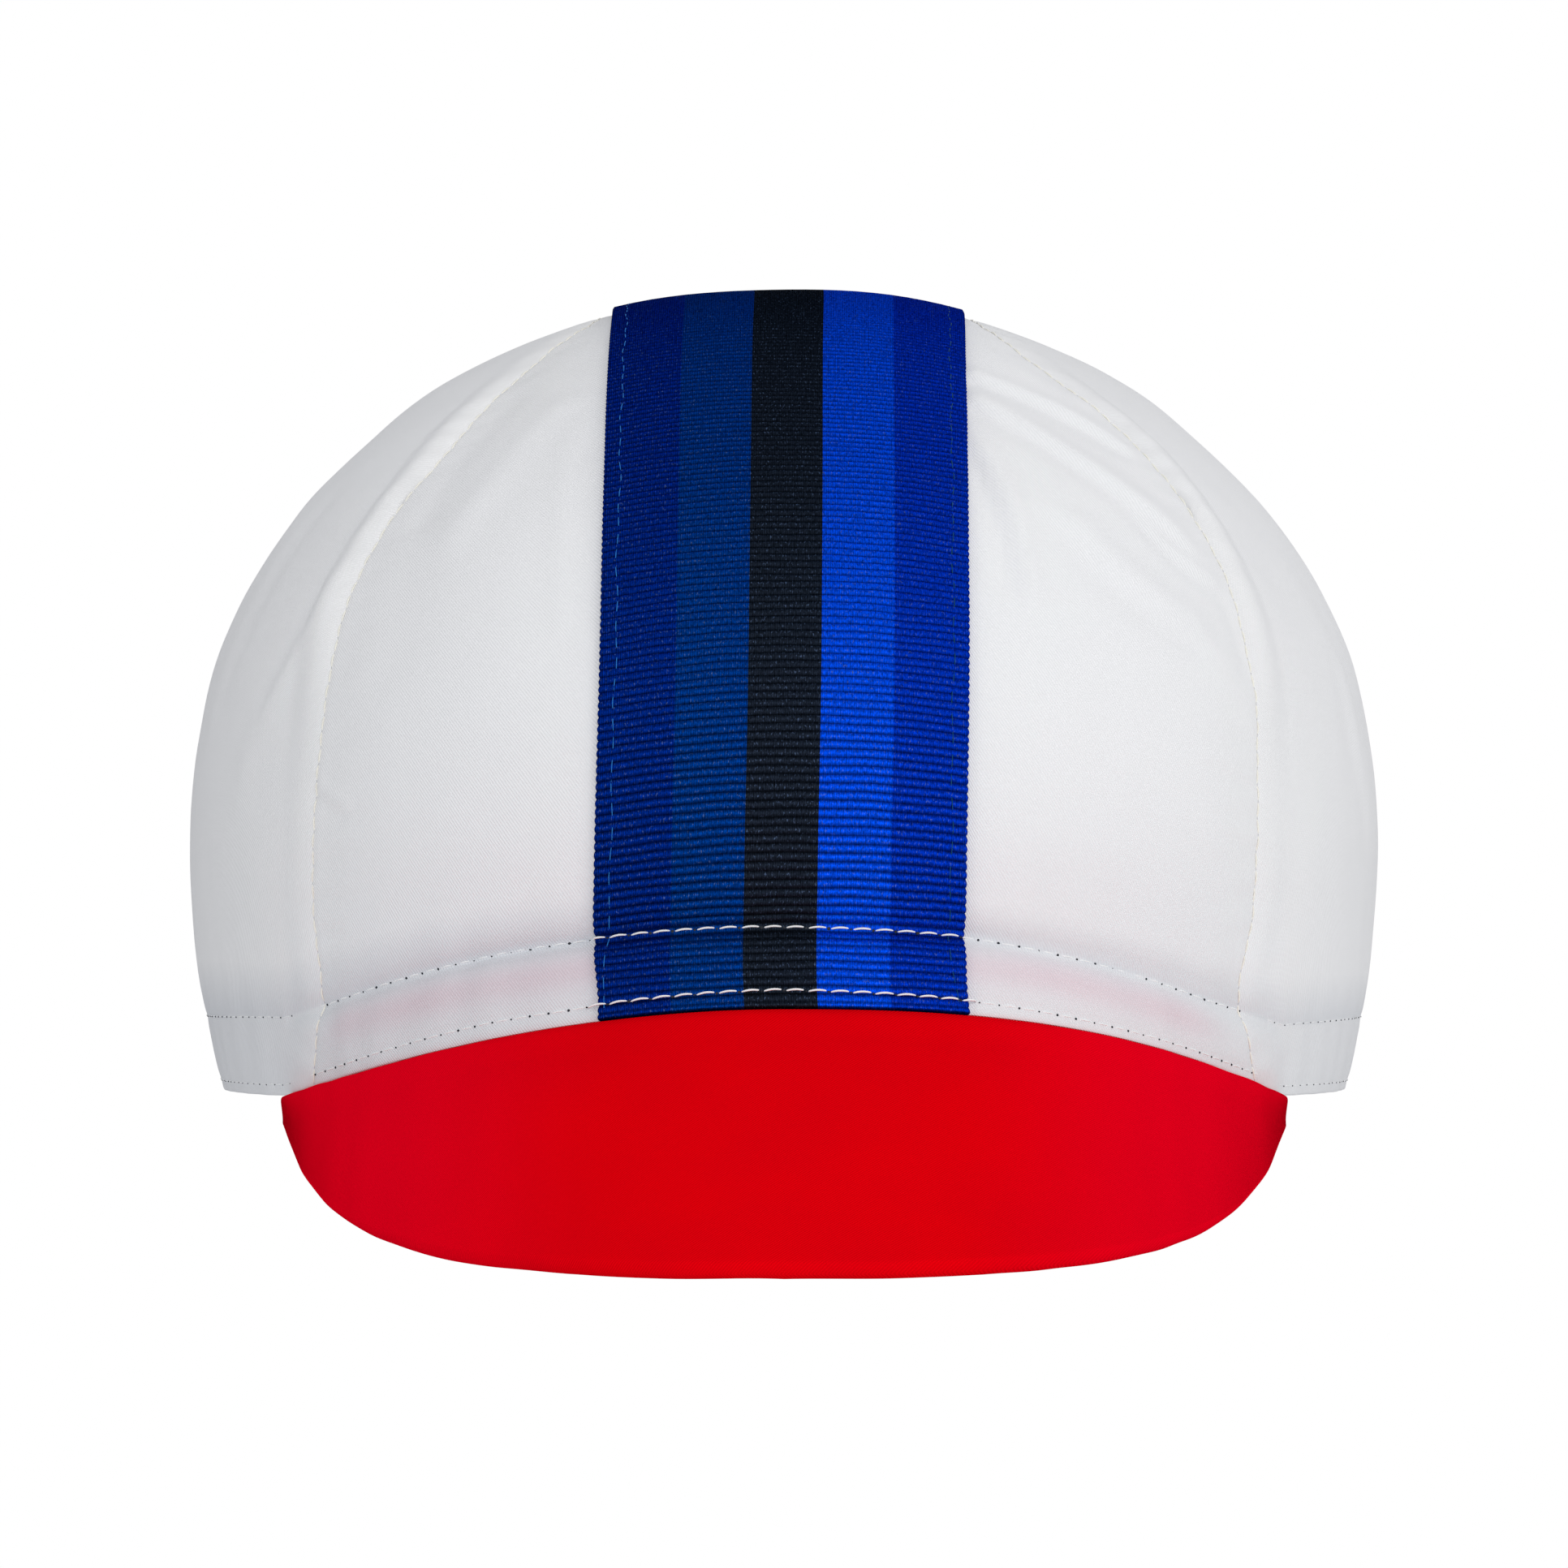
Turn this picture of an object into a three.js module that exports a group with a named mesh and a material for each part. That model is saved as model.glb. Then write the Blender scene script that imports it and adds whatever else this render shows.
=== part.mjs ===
// A soft cotton cycling cap in the form it takes on a head: a centre panel and two side panels of white
// twill, a striped ribbon over the top, a turned-up hem band inside and a short peak turned down.
// Millimetres. The front is toward -Y, up is +Z, and the rim's plane at the back is z = 0.
import * as THREE from "three";

// Thicknesses and clearances
const CLOTH = 1.2;
const RIBBON_THICKNESS = 0.8;
const BAND_THICKNESS = 1.0;
const PEAK_THICKNESS = 2.5;
const TAIL_THICKNESS = 0.8;
const GAP = 0.3;
const SEAM_GAP = 0.2;
const TAIL_GAP = 0.6;
const BAND_GAP = 0.45;

// The crown is a stack of superelliptic cross-sections, and the surface is smooth through them.
const SQUARENESS = 2.15;
const CROWN = table("height side front back", [
  [-12, 73.6, 95.5, 86.0],
  [0, 77.6, 96.6, 91.0],
  [12, 80.4, 96.6, 94.5],
  [24, 81.7, 96.3, 97.5],
  [36, 82.15, 96.1, 99.5],
  [48, 81.1, 93.0, 100.0],
  [60, 78.5, 87.1, 98.0],
  [70, 74.2, 80.1, 93.5],
  [80, 67.6, 71.1, 86.5],
  [90, 57.9, 57.9, 75.5],
  [98, 47.8, 44.6, 62.0],
  [104, 36.0, 31.8, 47.0],
  [107.6, 24.0, 20.3, 30.0],
  [110.2, 0, 0, 0],
]);
const APEX = CROWN[CROWN.length - 1].height;
const LEAST_SQUARE = 1e-6;
const HEART = new THREE.Vector3(0, 0, 34);
// Points on the crown are found by halving this distance from the heart.
const REACH = 160;
const HALVINGS = 40;

// Where the two long seams run: half widths of the centre panel against the angle over the top, which
// is 0 degrees straight ahead of the heart and 180 straight behind it.
const SEAMS = table("angle left right", [
  [-30, 62.6, 63.2],
  [-20, 61.2, 61.2],
  [-15, 60.8, 60.4],
  [-8, 62.0, 62.0],
  [0, 62.2, 62.8],
  [12, 61.9, 63.3],
  [22, 60.9, 62.8],
  [32, 58.4, 60.7],
  [42, 53.6, 56.6],
  [51, 46.9, 51.3],
  [61, 40.8, 43.4],
  [70, 33.4, 33.2],
  [78, 27.6, 27.8],
  [88, 25.3, 25.7],
  [102, 25.1, 25.4],
  [120, 25.8, 26.0],
  [150, 28.2, 28.2],
  [180, 30.5, 30.5],
  [210, 32.5, 32.5],
]);

// The ribbon, and how its middle wanders from the centre line
const RIBBON_WIDTH = 48.0;
const RIBBON_MIDDLE = table("angle offset", [
  [-16, 0.0],
  [-10, -0.6],
  [-2, -0.5],
  [12, -0.05],
  [30, 0.2],
  [60, 0.4],
  [80, 0.6],
  [110, 0.3],
  [210, 0.0],
]);

// The hem: nearly level at the sides and back, arched over the peak, a little less on the left
const HEM_SIDE = 0.5;
const HEM_LEVEL_DEPTH = 95;
const ARCH_HEIGHT = 12.5;
const ARCH_HALF = 67;
const ARCH_POWER = { left: 2.05, right: 2.55 };
const UPPER_STITCH = 10.9;
const FLARE = { height: 4.6, power: 0.8 };
const SETTLE_STEPS = 8;
const PINCH = { around: 0.3, front: 0.5, reach: 2.6 };

// The seam allowance folded to the side panels, and the elastic's gathers at the back of the hem
const RIDGE = { height: 0.8, width: 5.0 };
const LEAST_SLANT = 0.02;
const GATHER = { height: 1.4, pitch: 16, start: 25, end: 73, fade: 42, radius: 88 };

// Soft folds of the front half, as seen from the front: start, middle and end points, height and spread
const FOLDS = table("x0 z0 x1 z1 x2 z2 height spread", [
  [-64.3, 82.8, -71.5, 69.0, -77.5, 53.7, 0.9, 5.0],
  [-61.3, 68.1, -67.2, 56.5, -72.3, 45.5, 0.7, 4.5],
  [-48.7, 78.1, -50.3, 69.3, -51.9, 59.8, -0.7, 5.5],
  [34.0, 99.0, 46.0, 90.0, 57.0, 74.0, 0.8, 4.5],
  [27.0, 92.0, 42.0, 82.5, 57.5, 70.2, 0.8, 4.5],
  [33.8, 78.6, 49.6, 64.8, 62.0, 53.5, 0.8, 5.0],
  [68.5, 72.0, 75.8, 55.8, 80.5, 37.0, 0.8, 5.0],
]);
const FOLD_STEPS = 8;

// The peak: how long it is along its slope at a distance from its middle, without the rounded edge
const PEAK_SLOPE = 30;
const PEAK_DROP = 2.2;
const PEAK_HALF = 66;
const PEAK_ROOT = { start: 0.1, way: 0.5, full: 4, half: 0.75 };
const PEAK_END_SHARE = 0.6;
const PEAK_SHORTEST = 0.8;
const PEAK_MARGIN = 0.4;
const PEAK_EDGE = table("way half", [
  [0.35, 0.68],
  [0.48, 0.2],
]);
const NUDGE = 0.5;
const PEAK_LENGTH = table("side left right", [
  [0, 57.7, 57.7],
  [15, 56.6, 57.2],
  [25, 54.3, 55.3],
  [34, 50.8, 52.3],
  [42.5, 45.9, 47.8],
  [50, 39.5, 41.4],
  [55.5, 32.9, 34.2],
  [60, 23.6, 25.0],
  [62.6, 16.2, 17.5],
  [64.6, 8.6, 9.6],
  [65.8, 3.0, 4.0],
  [66.4, 0.6, 0.8],
]);
const TAIL = { foot: 0.6, end: 1.4, rise: 7.6, power: 0.8 };
const BEND = { back: 2.1, down: 0.9, half: 0.55 };

// How finely the cloth is divided: rows up from the hem, rows on to the shoulder, rows over the top
const HEM_ROWS = [0, 2.6, 6.8, 10.9, 13.2, 18];
const BAND_ROWS = 5;
const CLIMB = [0, 0.13, 0.27, 0.41, 0.55, 0.68, 0.79, 0.88, 0.945, 0.98, 1];
const LOWEST = -70;
const SHOULDER = 45;
const ACROSS = [0, 0.013, 0.028, 0.06, 0.105, 0.15, 0.2, 0.25, 0.3, 0.35, 0.4, 0.45, 0.5, 0.55, 0.6, 0.65,
  0.7, 0.75, 0.8, 0.83, 0.86, 0.885, 0.91, 0.935, 0.96, 0.985, 1];
const STRIPS = 5;
const STRIP_POWER = 1.3;

// The peak's columns crowd toward its ends, and its stations run from its root to its rounded edge.
const PEAK_COLUMNS = 24;
const PEAK_CROWDING = 83;
const PEAK_ALONG = [0.08, 0.25, 0.45, 0.65, 0.85, 1];

const COLOURS = { white: 0xe9eaee, ribbon: 0x06358f, red: 0xd80c1c };

function table(names, rows) {
  const keys = names.split(" ");
  return rows.map((row) => Object.fromEntries(keys.map((key, i) => [key, row[i]])));
}

// A cubic through the rows of a table. Each slope is the weighted mean of its neighbours' slopes, and the
// curve gives the value and the rate of change.
function curveThrough(rows, key, valueOf) {
  const at = rows.map((row) => row[key]);
  const value = rows.map(valueOf);
  const last = at.length - 1;
  const step = at.slice(1).map((x, i) => x - at[i]);
  const secant = step.map((h, i) => (value[i + 1] - value[i]) / h);
  const slope = at.map((x, i) => {
    if (i === 0) return secant[0];
    if (i === last) return secant[last - 1];
    return (secant[i - 1] * step[i] + secant[i] * step[i - 1]) / (step[i - 1] + step[i]);
  });
  return (x) => {
    const inside = THREE.MathUtils.clamp(x, at[0], at[last]);
    let i = 0;
    while (i < last - 1 && inside > at[i + 1]) i += 1;
    const h = step[i];
    const t = (inside - at[i]) / h;
    const a = value[i];
    const b = value[i + 1];
    const m = slope[i] * h;
    const n = slope[i + 1] * h;
    const cubic = (2 * t ** 3 - 3 * t ** 2 + 1) * a + (t ** 3 - 2 * t ** 2 + t) * m
      + (3 * t ** 2 - 2 * t ** 3) * b + (t ** 3 - t ** 2) * n;
    const change = (6 * t ** 2 - 6 * t) * (a - b) + (3 * t ** 2 - 4 * t + 1) * m + (3 * t ** 2 - 2 * t) * n;
    return { value: cubic, rate: change / h };
  };
}

const sideSquared = curveThrough(CROWN, "height", (row) => row.side ** 2);
const frontSquared = curveThrough(CROWN, "height", (row) => row.front ** 2);
const backSquared = curveThrough(CROWN, "height", (row) => row.back ** 2);
const seamLeft = curveThrough(SEAMS, "angle", (row) => row.left);
const seamRight = curveThrough(SEAMS, "angle", (row) => row.right);
const ribbonMiddle = curveThrough(RIBBON_MIDDLE, "angle", (row) => row.offset);
const peakLengthLeft = curveThrough(PEAK_LENGTH, "side", (row) => row.left);
const peakLengthRight = curveThrough(PEAK_LENGTH, "side", (row) => row.right);

const radians = THREE.MathUtils.degToRad;
const lerp = THREE.MathUtils.lerp;

// The half sizes of the cross-section at a height, toward the side and toward the front or the back
function sectionAt(z, front) {
  const side = sideSquared(z);
  const depth = front ? frontSquared(z) : backSquared(z);
  return {
    side: Math.sqrt(Math.max(side.value, LEAST_SQUARE)),
    depth: Math.sqrt(Math.max(depth.value, LEAST_SQUARE)),
    sideRate: side.rate / Math.max(side.value, LEAST_SQUARE),
    depthRate: depth.rate / Math.max(depth.value, LEAST_SQUARE),
  };
}

// Under 1 inside the crown, 1 on its surface
function fullness(x, y, z) {
  if (z >= APEX) return 2;
  const { side, depth } = sectionAt(z, y < 0);
  return (Math.abs(x) / side) ** SQUARENESS + (Math.abs(y) / depth) ** SQUARENESS;
}

// The point of the crown's surface in a direction from a start inside it
function castOut(start, direction) {
  const along = direction.clone().normalize();
  let near = 0;
  let far = REACH;
  for (let i = 0; i < HALVINGS; i += 1) {
    const middle = (near + far) / 2;
    const p = start.clone().addScaledVector(along, middle);
    if (fullness(p.x, p.y, p.z) > 1) far = middle;
    else near = middle;
  }
  return start.clone().addScaledVector(along, near);
}

// The point straight out from the heart's cross axis, x to the side, at an angle over the top
function overTop(x, angle) {
  const start = new THREE.Vector3(x, 0, HEART.z);
  return castOut(start, new THREE.Vector3(0, -Math.cos(radians(angle)), Math.sin(radians(angle))));
}

function normalAt(p) {
  const { side, depth, sideRate, depthRate } = sectionAt(p.z, p.y < 0);
  const across = (Math.abs(p.x) / side) ** SQUARENESS;
  const along = (Math.abs(p.y) / depth) ** SQUARENESS;
  const nx = (Math.sign(p.x) * across) / Math.max(Math.abs(p.x), LEAST_SQUARE);
  const ny = (Math.sign(p.y) * along) / Math.max(Math.abs(p.y), LEAST_SQUARE);
  const nz = -(across * sideRate + along * depthRate) / 2 + LEAST_SQUARE;
  return new THREE.Vector3(nx, ny, nz).normalize();
}

// The angle over the top of any point, from -90 degrees below the front to 270 below the back
function angleOf(p) {
  const angle = THREE.MathUtils.radToDeg(Math.atan2(p.z - HEART.z, -p.y));
  return angle < -90 ? angle + 360 : angle;
}

function hemHeight(p) {
  const level = HEM_SIDE * (1 - p.y / HEM_LEVEL_DEPTH);
  const power = p.x < 0 ? ARCH_POWER.left : ARCH_POWER.right;
  const arch = p.y < 0 ? Math.max(0, 1 - (Math.abs(p.x) / ARCH_HALF) ** power) : 0;
  return level + ARCH_HEIGHT * arch;
}

// How far into the arch of the hem a point lies: 1 in the middle of the front, 0 past the peak's ends
function frontShare(p) {
  if (p.y > 0) return 0;
  return Math.cos((Math.PI / 2) * Math.min(1, Math.abs(p.x) / ARCH_HALF)) ** FLARE.power;
}

// The point of the front half at x and z
function onFront(x, z) {
  const { side, depth } = sectionAt(z, true);
  const share = Math.max(0, 1 - (Math.abs(x) / side) ** SQUARENESS);
  return new THREE.Vector3(x, -depth * share ** (1 / SQUARENESS), z);
}

// The point of the front half at x, a height above the hem
function aboveHem(x, height) {
  let p = onFront(x, height);
  for (let i = 0; i < SETTLE_STEPS; i += 1) p = onFront(x, height + hemHeight(p));
  return p;
}

const foldLines = FOLDS.map((fold) => {
  const points = [];
  for (let i = 0; i <= FOLD_STEPS; i += 1) {
    const t = i / FOLD_STEPS;
    const blend = (a, b, c) => lerp(lerp(a, b, t), lerp(b, c, t), t);
    // The middle point lies on the curve, so the control point is moved out to twice its distance.
    const control = (a, b, c) => 2 * b - (a + c) / 2;
    points.push(onFront(
      blend(fold.x0, control(fold.x0, fold.x1, fold.x2), fold.x2),
      blend(fold.z0, control(fold.z0, fold.z1, fold.z2), fold.z2),
    ));
  }
  return { points, height: fold.height, spread: fold.spread };
});

// Distance from a point to a polyline
function distanceTo(points, p) {
  const nearest = new THREE.Vector3();
  let least = Infinity;
  for (let i = 1; i < points.length; i += 1) {
    new THREE.Line3(points[i - 1], points[i]).closestPointToPoint(p, true, nearest);
    least = Math.min(least, nearest.distanceTo(p));
  }
  return least;
}

// How far every layer of cloth stands out from the plain crown at a point
function lift(p) {
  const height = p.z - hemHeight(p);
  const share = frontShare(p);
  const flare = FLARE.height * share * Math.max(0, 1 - height / UPPER_STITCH);
  const fromStitch = (height - UPPER_STITCH) / PINCH.reach;
  const pinch = (PINCH.around + PINCH.front * share) * Math.exp(-(fromStitch ** 2));
  let out = flare - pinch;
  foldLines.forEach(({ points, height: rise, spread }) => {
    out += rise * Math.exp(-((distanceTo(points, p) / spread) ** 2));
  });
  const round = GATHER.radius * Math.abs(Math.atan2(p.x, p.y));
  if (round > GATHER.start && round < GATHER.end && height < GATHER.fade) {
    const share = (round - GATHER.start) / (GATHER.end - GATHER.start);
    const fade = Math.sin(Math.PI * share) * (1 - Math.max(0, height) / GATHER.fade) ** 2;
    out += GATHER.height * fade * Math.sin((2 * Math.PI * (round - GATHER.start)) / GATHER.pitch);
  }
  return out;
}

// A place in the cloth: its base point, its normal, how far it is lifted, and how much thicker the seam
// allowance makes it
function place(p, fromSeam = 0) {
  const ridge = fromSeam < RIDGE.width ? RIDGE.height * Math.sin((Math.PI * fromSeam) / RIDGE.width) : 0;
  return { p, normal: normalAt(p), lift: lift(p), ridge };
}

function layer(spot, offset) {
  return spot.p.clone().addScaledVector(spot.normal, spot.lift + offset);
}

// The angles of the rows of one column that runs up the front or the back, from the hem to the shoulder
function climbAngles(xAt, back) {
  const shoulder = back ? 180 - SHOULDER : SHOULDER;
  const angleAt = (height) => {
    let low = back ? 180 - LOWEST : LOWEST;
    let high = back ? 180 + LOWEST : -LOWEST;
    for (let i = 0; i < HALVINGS; i += 1) {
      const middle = (low + high) / 2;
      const p = overTop(xAt(middle), middle);
      if (p.z - hemHeight(p) > height) high = middle;
      else low = middle;
    }
    return (low + high) / 2;
  };
  const lower = HEM_ROWS.map(angleAt);
  const foot = lower[lower.length - 1];
  return lower.concat(CLIMB.slice(1).map((share) => lerp(foot, shoulder, share)));
}

// All rows of a column from the front hem over the top to the back hem
function columnAngles(xAt) {
  const front = climbAngles(xAt, false);
  const back = climbAngles(xAt, true);
  const top = ACROSS.slice(1, -1).map((share) => lerp(SHOULDER, 180 - SHOULDER, share));
  return [...front, ...top, ...back.reverse()];
}

// The centre panel's columns: strips from the left seam to the ribbon, under it, and to the right seam
function centreX(column) {
  return (angle) => {
    const left = SEAM_GAP - seamLeft(angle).value;
    const right = seamRight(angle).value - SEAM_GAP;
    const middle = ribbonMiddle(angle).value;
    const half = RIBBON_WIDTH / 2;
    const share = (column % STRIPS) / STRIPS;
    if (column < STRIPS) return lerp(left, middle - half, share ** STRIP_POWER);
    if (column < 2 * STRIPS) return lerp(middle - half, middle + half, share);
    return column < 3 * STRIPS ? lerp(right, middle + half, (1 - share) ** STRIP_POWER) : right;
  };
}

function centreGrid() {
  const grid = [];
  for (let column = 0; column <= 3 * STRIPS; column += 1) {
    const xAt = centreX(column);
    grid.push(columnAngles(xAt).map((angle) => place(overTop(xAt(angle), angle))));
  }
  return grid;
}

// A side panel: its lower rows go round at set heights above the hem, and above them a patch is spread
// between the lower rows and the seam. The first column is the front seam and the last the back seam.
function sideGrid(sign) {
  const seam = sign < 0 ? seamLeft : seamRight;
  const xAt = (angle) => sign * (seam(angle).value + SEAM_GAP);
  const pointsAt = (angles) => angles.map((angle) => overTop(xAt(angle), angle));
  const front = pointsAt(climbAngles(xAt, false));
  const back = pointsAt(climbAngles(xAt, true));
  const top = pointsAt(ACROSS.map((share) => lerp(SHOULDER, 180 - SHOULDER, share)));
  const foot = HEM_ROWS.length - 1;
  const rows = front.length - 1;

  const turnOf = (p) => {
    const { side, depth } = sectionAt(p.z, p.y < 0);
    return Math.atan2(Math.abs(p.x) / side, -p.y / depth);
  };
  const pointAt = (turn, height) => {
    let p = new THREE.Vector3(sign, 0, height);
    for (let i = 0; i < SETTLE_STEPS; i += 1) {
      const z = height + hemHeight(p);
      const { side, depth } = sectionAt(z, Math.cos(turn) > 0);
      const across = Math.sin(turn);
      const along = Math.cos(turn);
      const scale = (across ** SQUARENESS + Math.abs(along) ** SQUARENESS) ** (-1 / SQUARENESS);
      p = new THREE.Vector3(sign * side * scale * across, -depth * scale * along, z);
    }
    return p;
  };
  const lowerPoint = (share, row) => {
    if (share === 0) return front[row];
    if (share === 1) return back[row];
    return pointAt(lerp(turnOf(front[row]), turnOf(back[row]), share), HEM_ROWS[row]);
  };
  const distanceFromSeam = (p) => {
    const away = Math.abs(p.x) - seam(angleOf(p)).value - SEAM_GAP;
    const slant = Math.sqrt(Math.max(LEAST_SLANT, 1 - normalAt(p).x ** 2));
    return Math.max(0, away) / slant;
  };

  return ACROSS.map((share, column) => {
    const points = HEM_ROWS.map((height, row) => lowerPoint(share, row));
    const base = points[foot];
    for (let row = foot + 1; row <= rows; row += 1) {
      const up = CLIMB[row - foot];
      const spread = new THREE.Vector3()
        .addScaledVector(base, 1 - up)
        .addScaledVector(top[column], up)
        .addScaledVector(front[row], 1 - share)
        .addScaledVector(back[row], share)
        .addScaledVector(front[foot], -(1 - share) * (1 - up))
        .addScaledVector(back[foot], -share * (1 - up))
        .addScaledVector(top[0], -(1 - share) * up)
        .addScaledVector(top[top.length - 1], -share * up);
      points.push(castOut(HEART, spread.sub(HEART)));
    }
    return points.map((p) => place(p, distanceFromSeam(p)));
  });
}

// A closed solid between two matching grids of points, open along its columns or closed into a ring
function wall(outer, inner, ring = false) {
  const columns = outer.length;
  const rows = outer[0].length;
  const index = (side, i, j) => side * columns * rows + (i % columns) * rows + j;
  const faces = [];
  const quad = (a, b, c, d) => faces.push(a, b, c, a, c, d);
  const spans = ring ? columns : columns - 1;
  for (let i = 0; i < spans; i += 1) {
    for (let j = 0; j < rows - 1; j += 1) {
      quad(index(0, i, j), index(0, i + 1, j), index(0, i + 1, j + 1), index(0, i, j + 1));
      quad(index(1, i, j), index(1, i, j + 1), index(1, i + 1, j + 1), index(1, i + 1, j));
    }
    quad(index(0, i, 0), index(1, i, 0), index(1, i + 1, 0), index(0, i + 1, 0));
    quad(index(0, i, rows - 1), index(0, i + 1, rows - 1), index(1, i + 1, rows - 1), index(1, i, rows - 1));
  }
  if (!ring) {
    for (let j = 0; j < rows - 1; j += 1) {
      quad(index(0, 0, j), index(0, 0, j + 1), index(1, 0, j + 1), index(1, 0, j));
      const i = columns - 1;
      quad(index(0, i, j), index(1, i, j), index(1, i, j + 1), index(0, i, j + 1));
    }
  }
  const points = [...outer.flat(), ...inner.flat()];
  let volume = 0;
  for (let k = 0; k < faces.length; k += 3) {
    volume += points[faces[k]].dot(points[faces[k + 1]].clone().cross(points[faces[k + 2]]));
  }
  if (volume < 0) faces.reverse();
  const geometry = new THREE.BufferGeometry().setFromPoints(points);
  geometry.setIndex(faces);
  geometry.computeVertexNormals();
  return geometry;
}

function piece(name, geometry, color, roughness) {
  const mesh = new THREE.Mesh(geometry, new THREE.MeshStandardMaterial({ color, roughness, metalness: 0 }));
  mesh.name = name;
  return mesh;
}

function panel(name, grid) {
  const outer = grid.map((column) => column.map((spot) => layer(spot, spot.ridge)));
  const inner = grid.map((column) => column.map((spot) => layer(spot, -CLOTH)));
  return piece(name, wall(outer, inner), COLOURS.white, 0.85);
}

function ribbon(grid) {
  const columns = grid.slice(STRIPS, 2 * STRIPS + 1);
  const outer = columns.map((column) => column.map((spot) => layer(spot, GAP + RIBBON_THICKNESS)));
  const inner = columns.map((column) => column.map((spot) => layer(spot, GAP)));
  return piece("ribbon", wall(outer, inner), COLOURS.ribbon, 0.6);
}

// The hem turned up inside follows the panels' own columns all round, and leaves room in front for the
// peak's tail.
function hemBand(centre, left, right) {
  const foot = (column) => column.slice(0, BAND_ROWS);
  const backFoot = (column) => column.slice(-BAND_ROWS).reverse();
  const around = [
    ...centre.map(foot),
    ...right.slice(1, -1).map(foot),
    ...centre.map(backFoot).reverse(),
    ...left.slice(1, -1).map(foot).reverse(),
  ];
  const inset = (spot) => {
    const { x, y } = spot.p;
    const share = y < 0 ? 1 - THREE.MathUtils.smoothstep(Math.abs(x), PEAK_HALF + 1, PEAK_HALF + 11) : 0;
    return CLOTH + BAND_GAP + share * (TAIL_THICKNESS + 2 * TAIL_GAP - BAND_GAP);
  };
  const outer = around.map((column) => column.map((spot) => layer(spot, -inset(spot))));
  const inner = around.map((column) => column.map((spot) => layer(spot, -inset(spot) - BAND_THICKNESS)));
  return piece("hem_band", wall(outer, inner, true), COLOURS.white, 0.85);
}

// The peak: a thin tail sewn up inside the hem, a bend under the hem's edge, and a stiff sheet whose
// straight lines all run down the same slope. Each station has a middle point and a half thickness.
function peak() {
  const down = new THREE.Vector3(0, -Math.cos(radians(PEAK_SLOPE)), -Math.sin(radians(PEAK_SLOPE)));
  const rim = (x) => layer(place(aboveHem(x, 0)), 0);
  const outer = [];
  const inner = [];
  for (let i = 0; i <= PEAK_COLUMNS; i += 1) {
    const turn = radians(lerp(-PEAK_CROWDING, PEAK_CROWDING, i / PEAK_COLUMNS));
    const x = (PEAK_HALF * Math.sin(turn)) / Math.sin(radians(PEAK_CROWDING));
    const edge = rim(x);
    const along = rim(x + NUDGE).sub(rim(x - NUDGE));
    const normal = along.cross(down).normalize();
    if (normal.z < 0) normal.negate();
    const atEnd = i === 0 || i === PEAK_COLUMNS;
    const full = (PEAK_THICKNESS / 2) * (atEnd ? PEAK_END_SHARE : 1);

    const tail = TAIL.end + TAIL.rise * (1 - (x / PEAK_HALF) ** 2) ** TAIL.power;
    const stations = [tail, (tail + TAIL.foot) / 2, TAIL.foot].map((height) => {
      const spot = place(aboveHem(x, height));
      const middle = layer(spot, -CLOTH - TAIL_GAP - TAIL_THICKNESS / 2);
      return { middle, normal: spot.normal, half: TAIL_THICKNESS / 2 };
    });
    const hem = place(aboveHem(x, 0));
    const bend = layer(hem, -BEND.back);
    bend.z -= BEND.down;
    stations.push({ middle: bend, normal: hem.normal.clone().add(normal).normalize(), half: BEND.half });

    const root = edge.clone().setZ(edge.z - PEAK_DROP);
    const lengthAt = edge.x < 0 ? peakLengthLeft : peakLengthRight;
    const length = Math.max(PEAK_SHORTEST, lengthAt(Math.abs(edge.x)).value);
    const last = length + PEAK_MARGIN;
    const sheet = (way, half) => {
      stations.push({ middle: root.clone().addScaledVector(down, way), normal, half });
    };
    sheet(PEAK_ROOT.start + PEAK_ROOT.way * Math.min(1, length / PEAK_ROOT.full), full * PEAK_ROOT.half);
    PEAK_ALONG.forEach((share) => sheet(lerp(PEAK_SHORTEST, last, share), full));
    PEAK_EDGE.forEach((round) => sheet(last + round.way * PEAK_THICKNESS, full * round.half));
    outer.push(stations.map((s) => s.middle.clone().addScaledVector(s.normal, s.half)));
    inner.push(stations.map((s) => s.middle.clone().addScaledVector(s.normal, -s.half)));
  }
  return piece("peak", wall(outer, inner), COLOURS.red, 0.8);
}

const centre = centreGrid();
const left = sideGrid(-1);
const right = sideGrid(1);

const cap = new THREE.Group();
cap.add(
  panel("center_panel", centre),
  panel("side_panel_left", left),
  panel("side_panel_right", right),
  ribbon(centre),
  hemBand(centre, left, right),
  peak(),
);

export default cap;
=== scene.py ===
"""A soft cotton cycling cap: white twill panels, a striped ribbed ribbon over the top, and a red peak.

Lengths are in millimetres until a mesh is written. The front is toward -Y and the hem's plane is z = 0.
"""
import math

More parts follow.
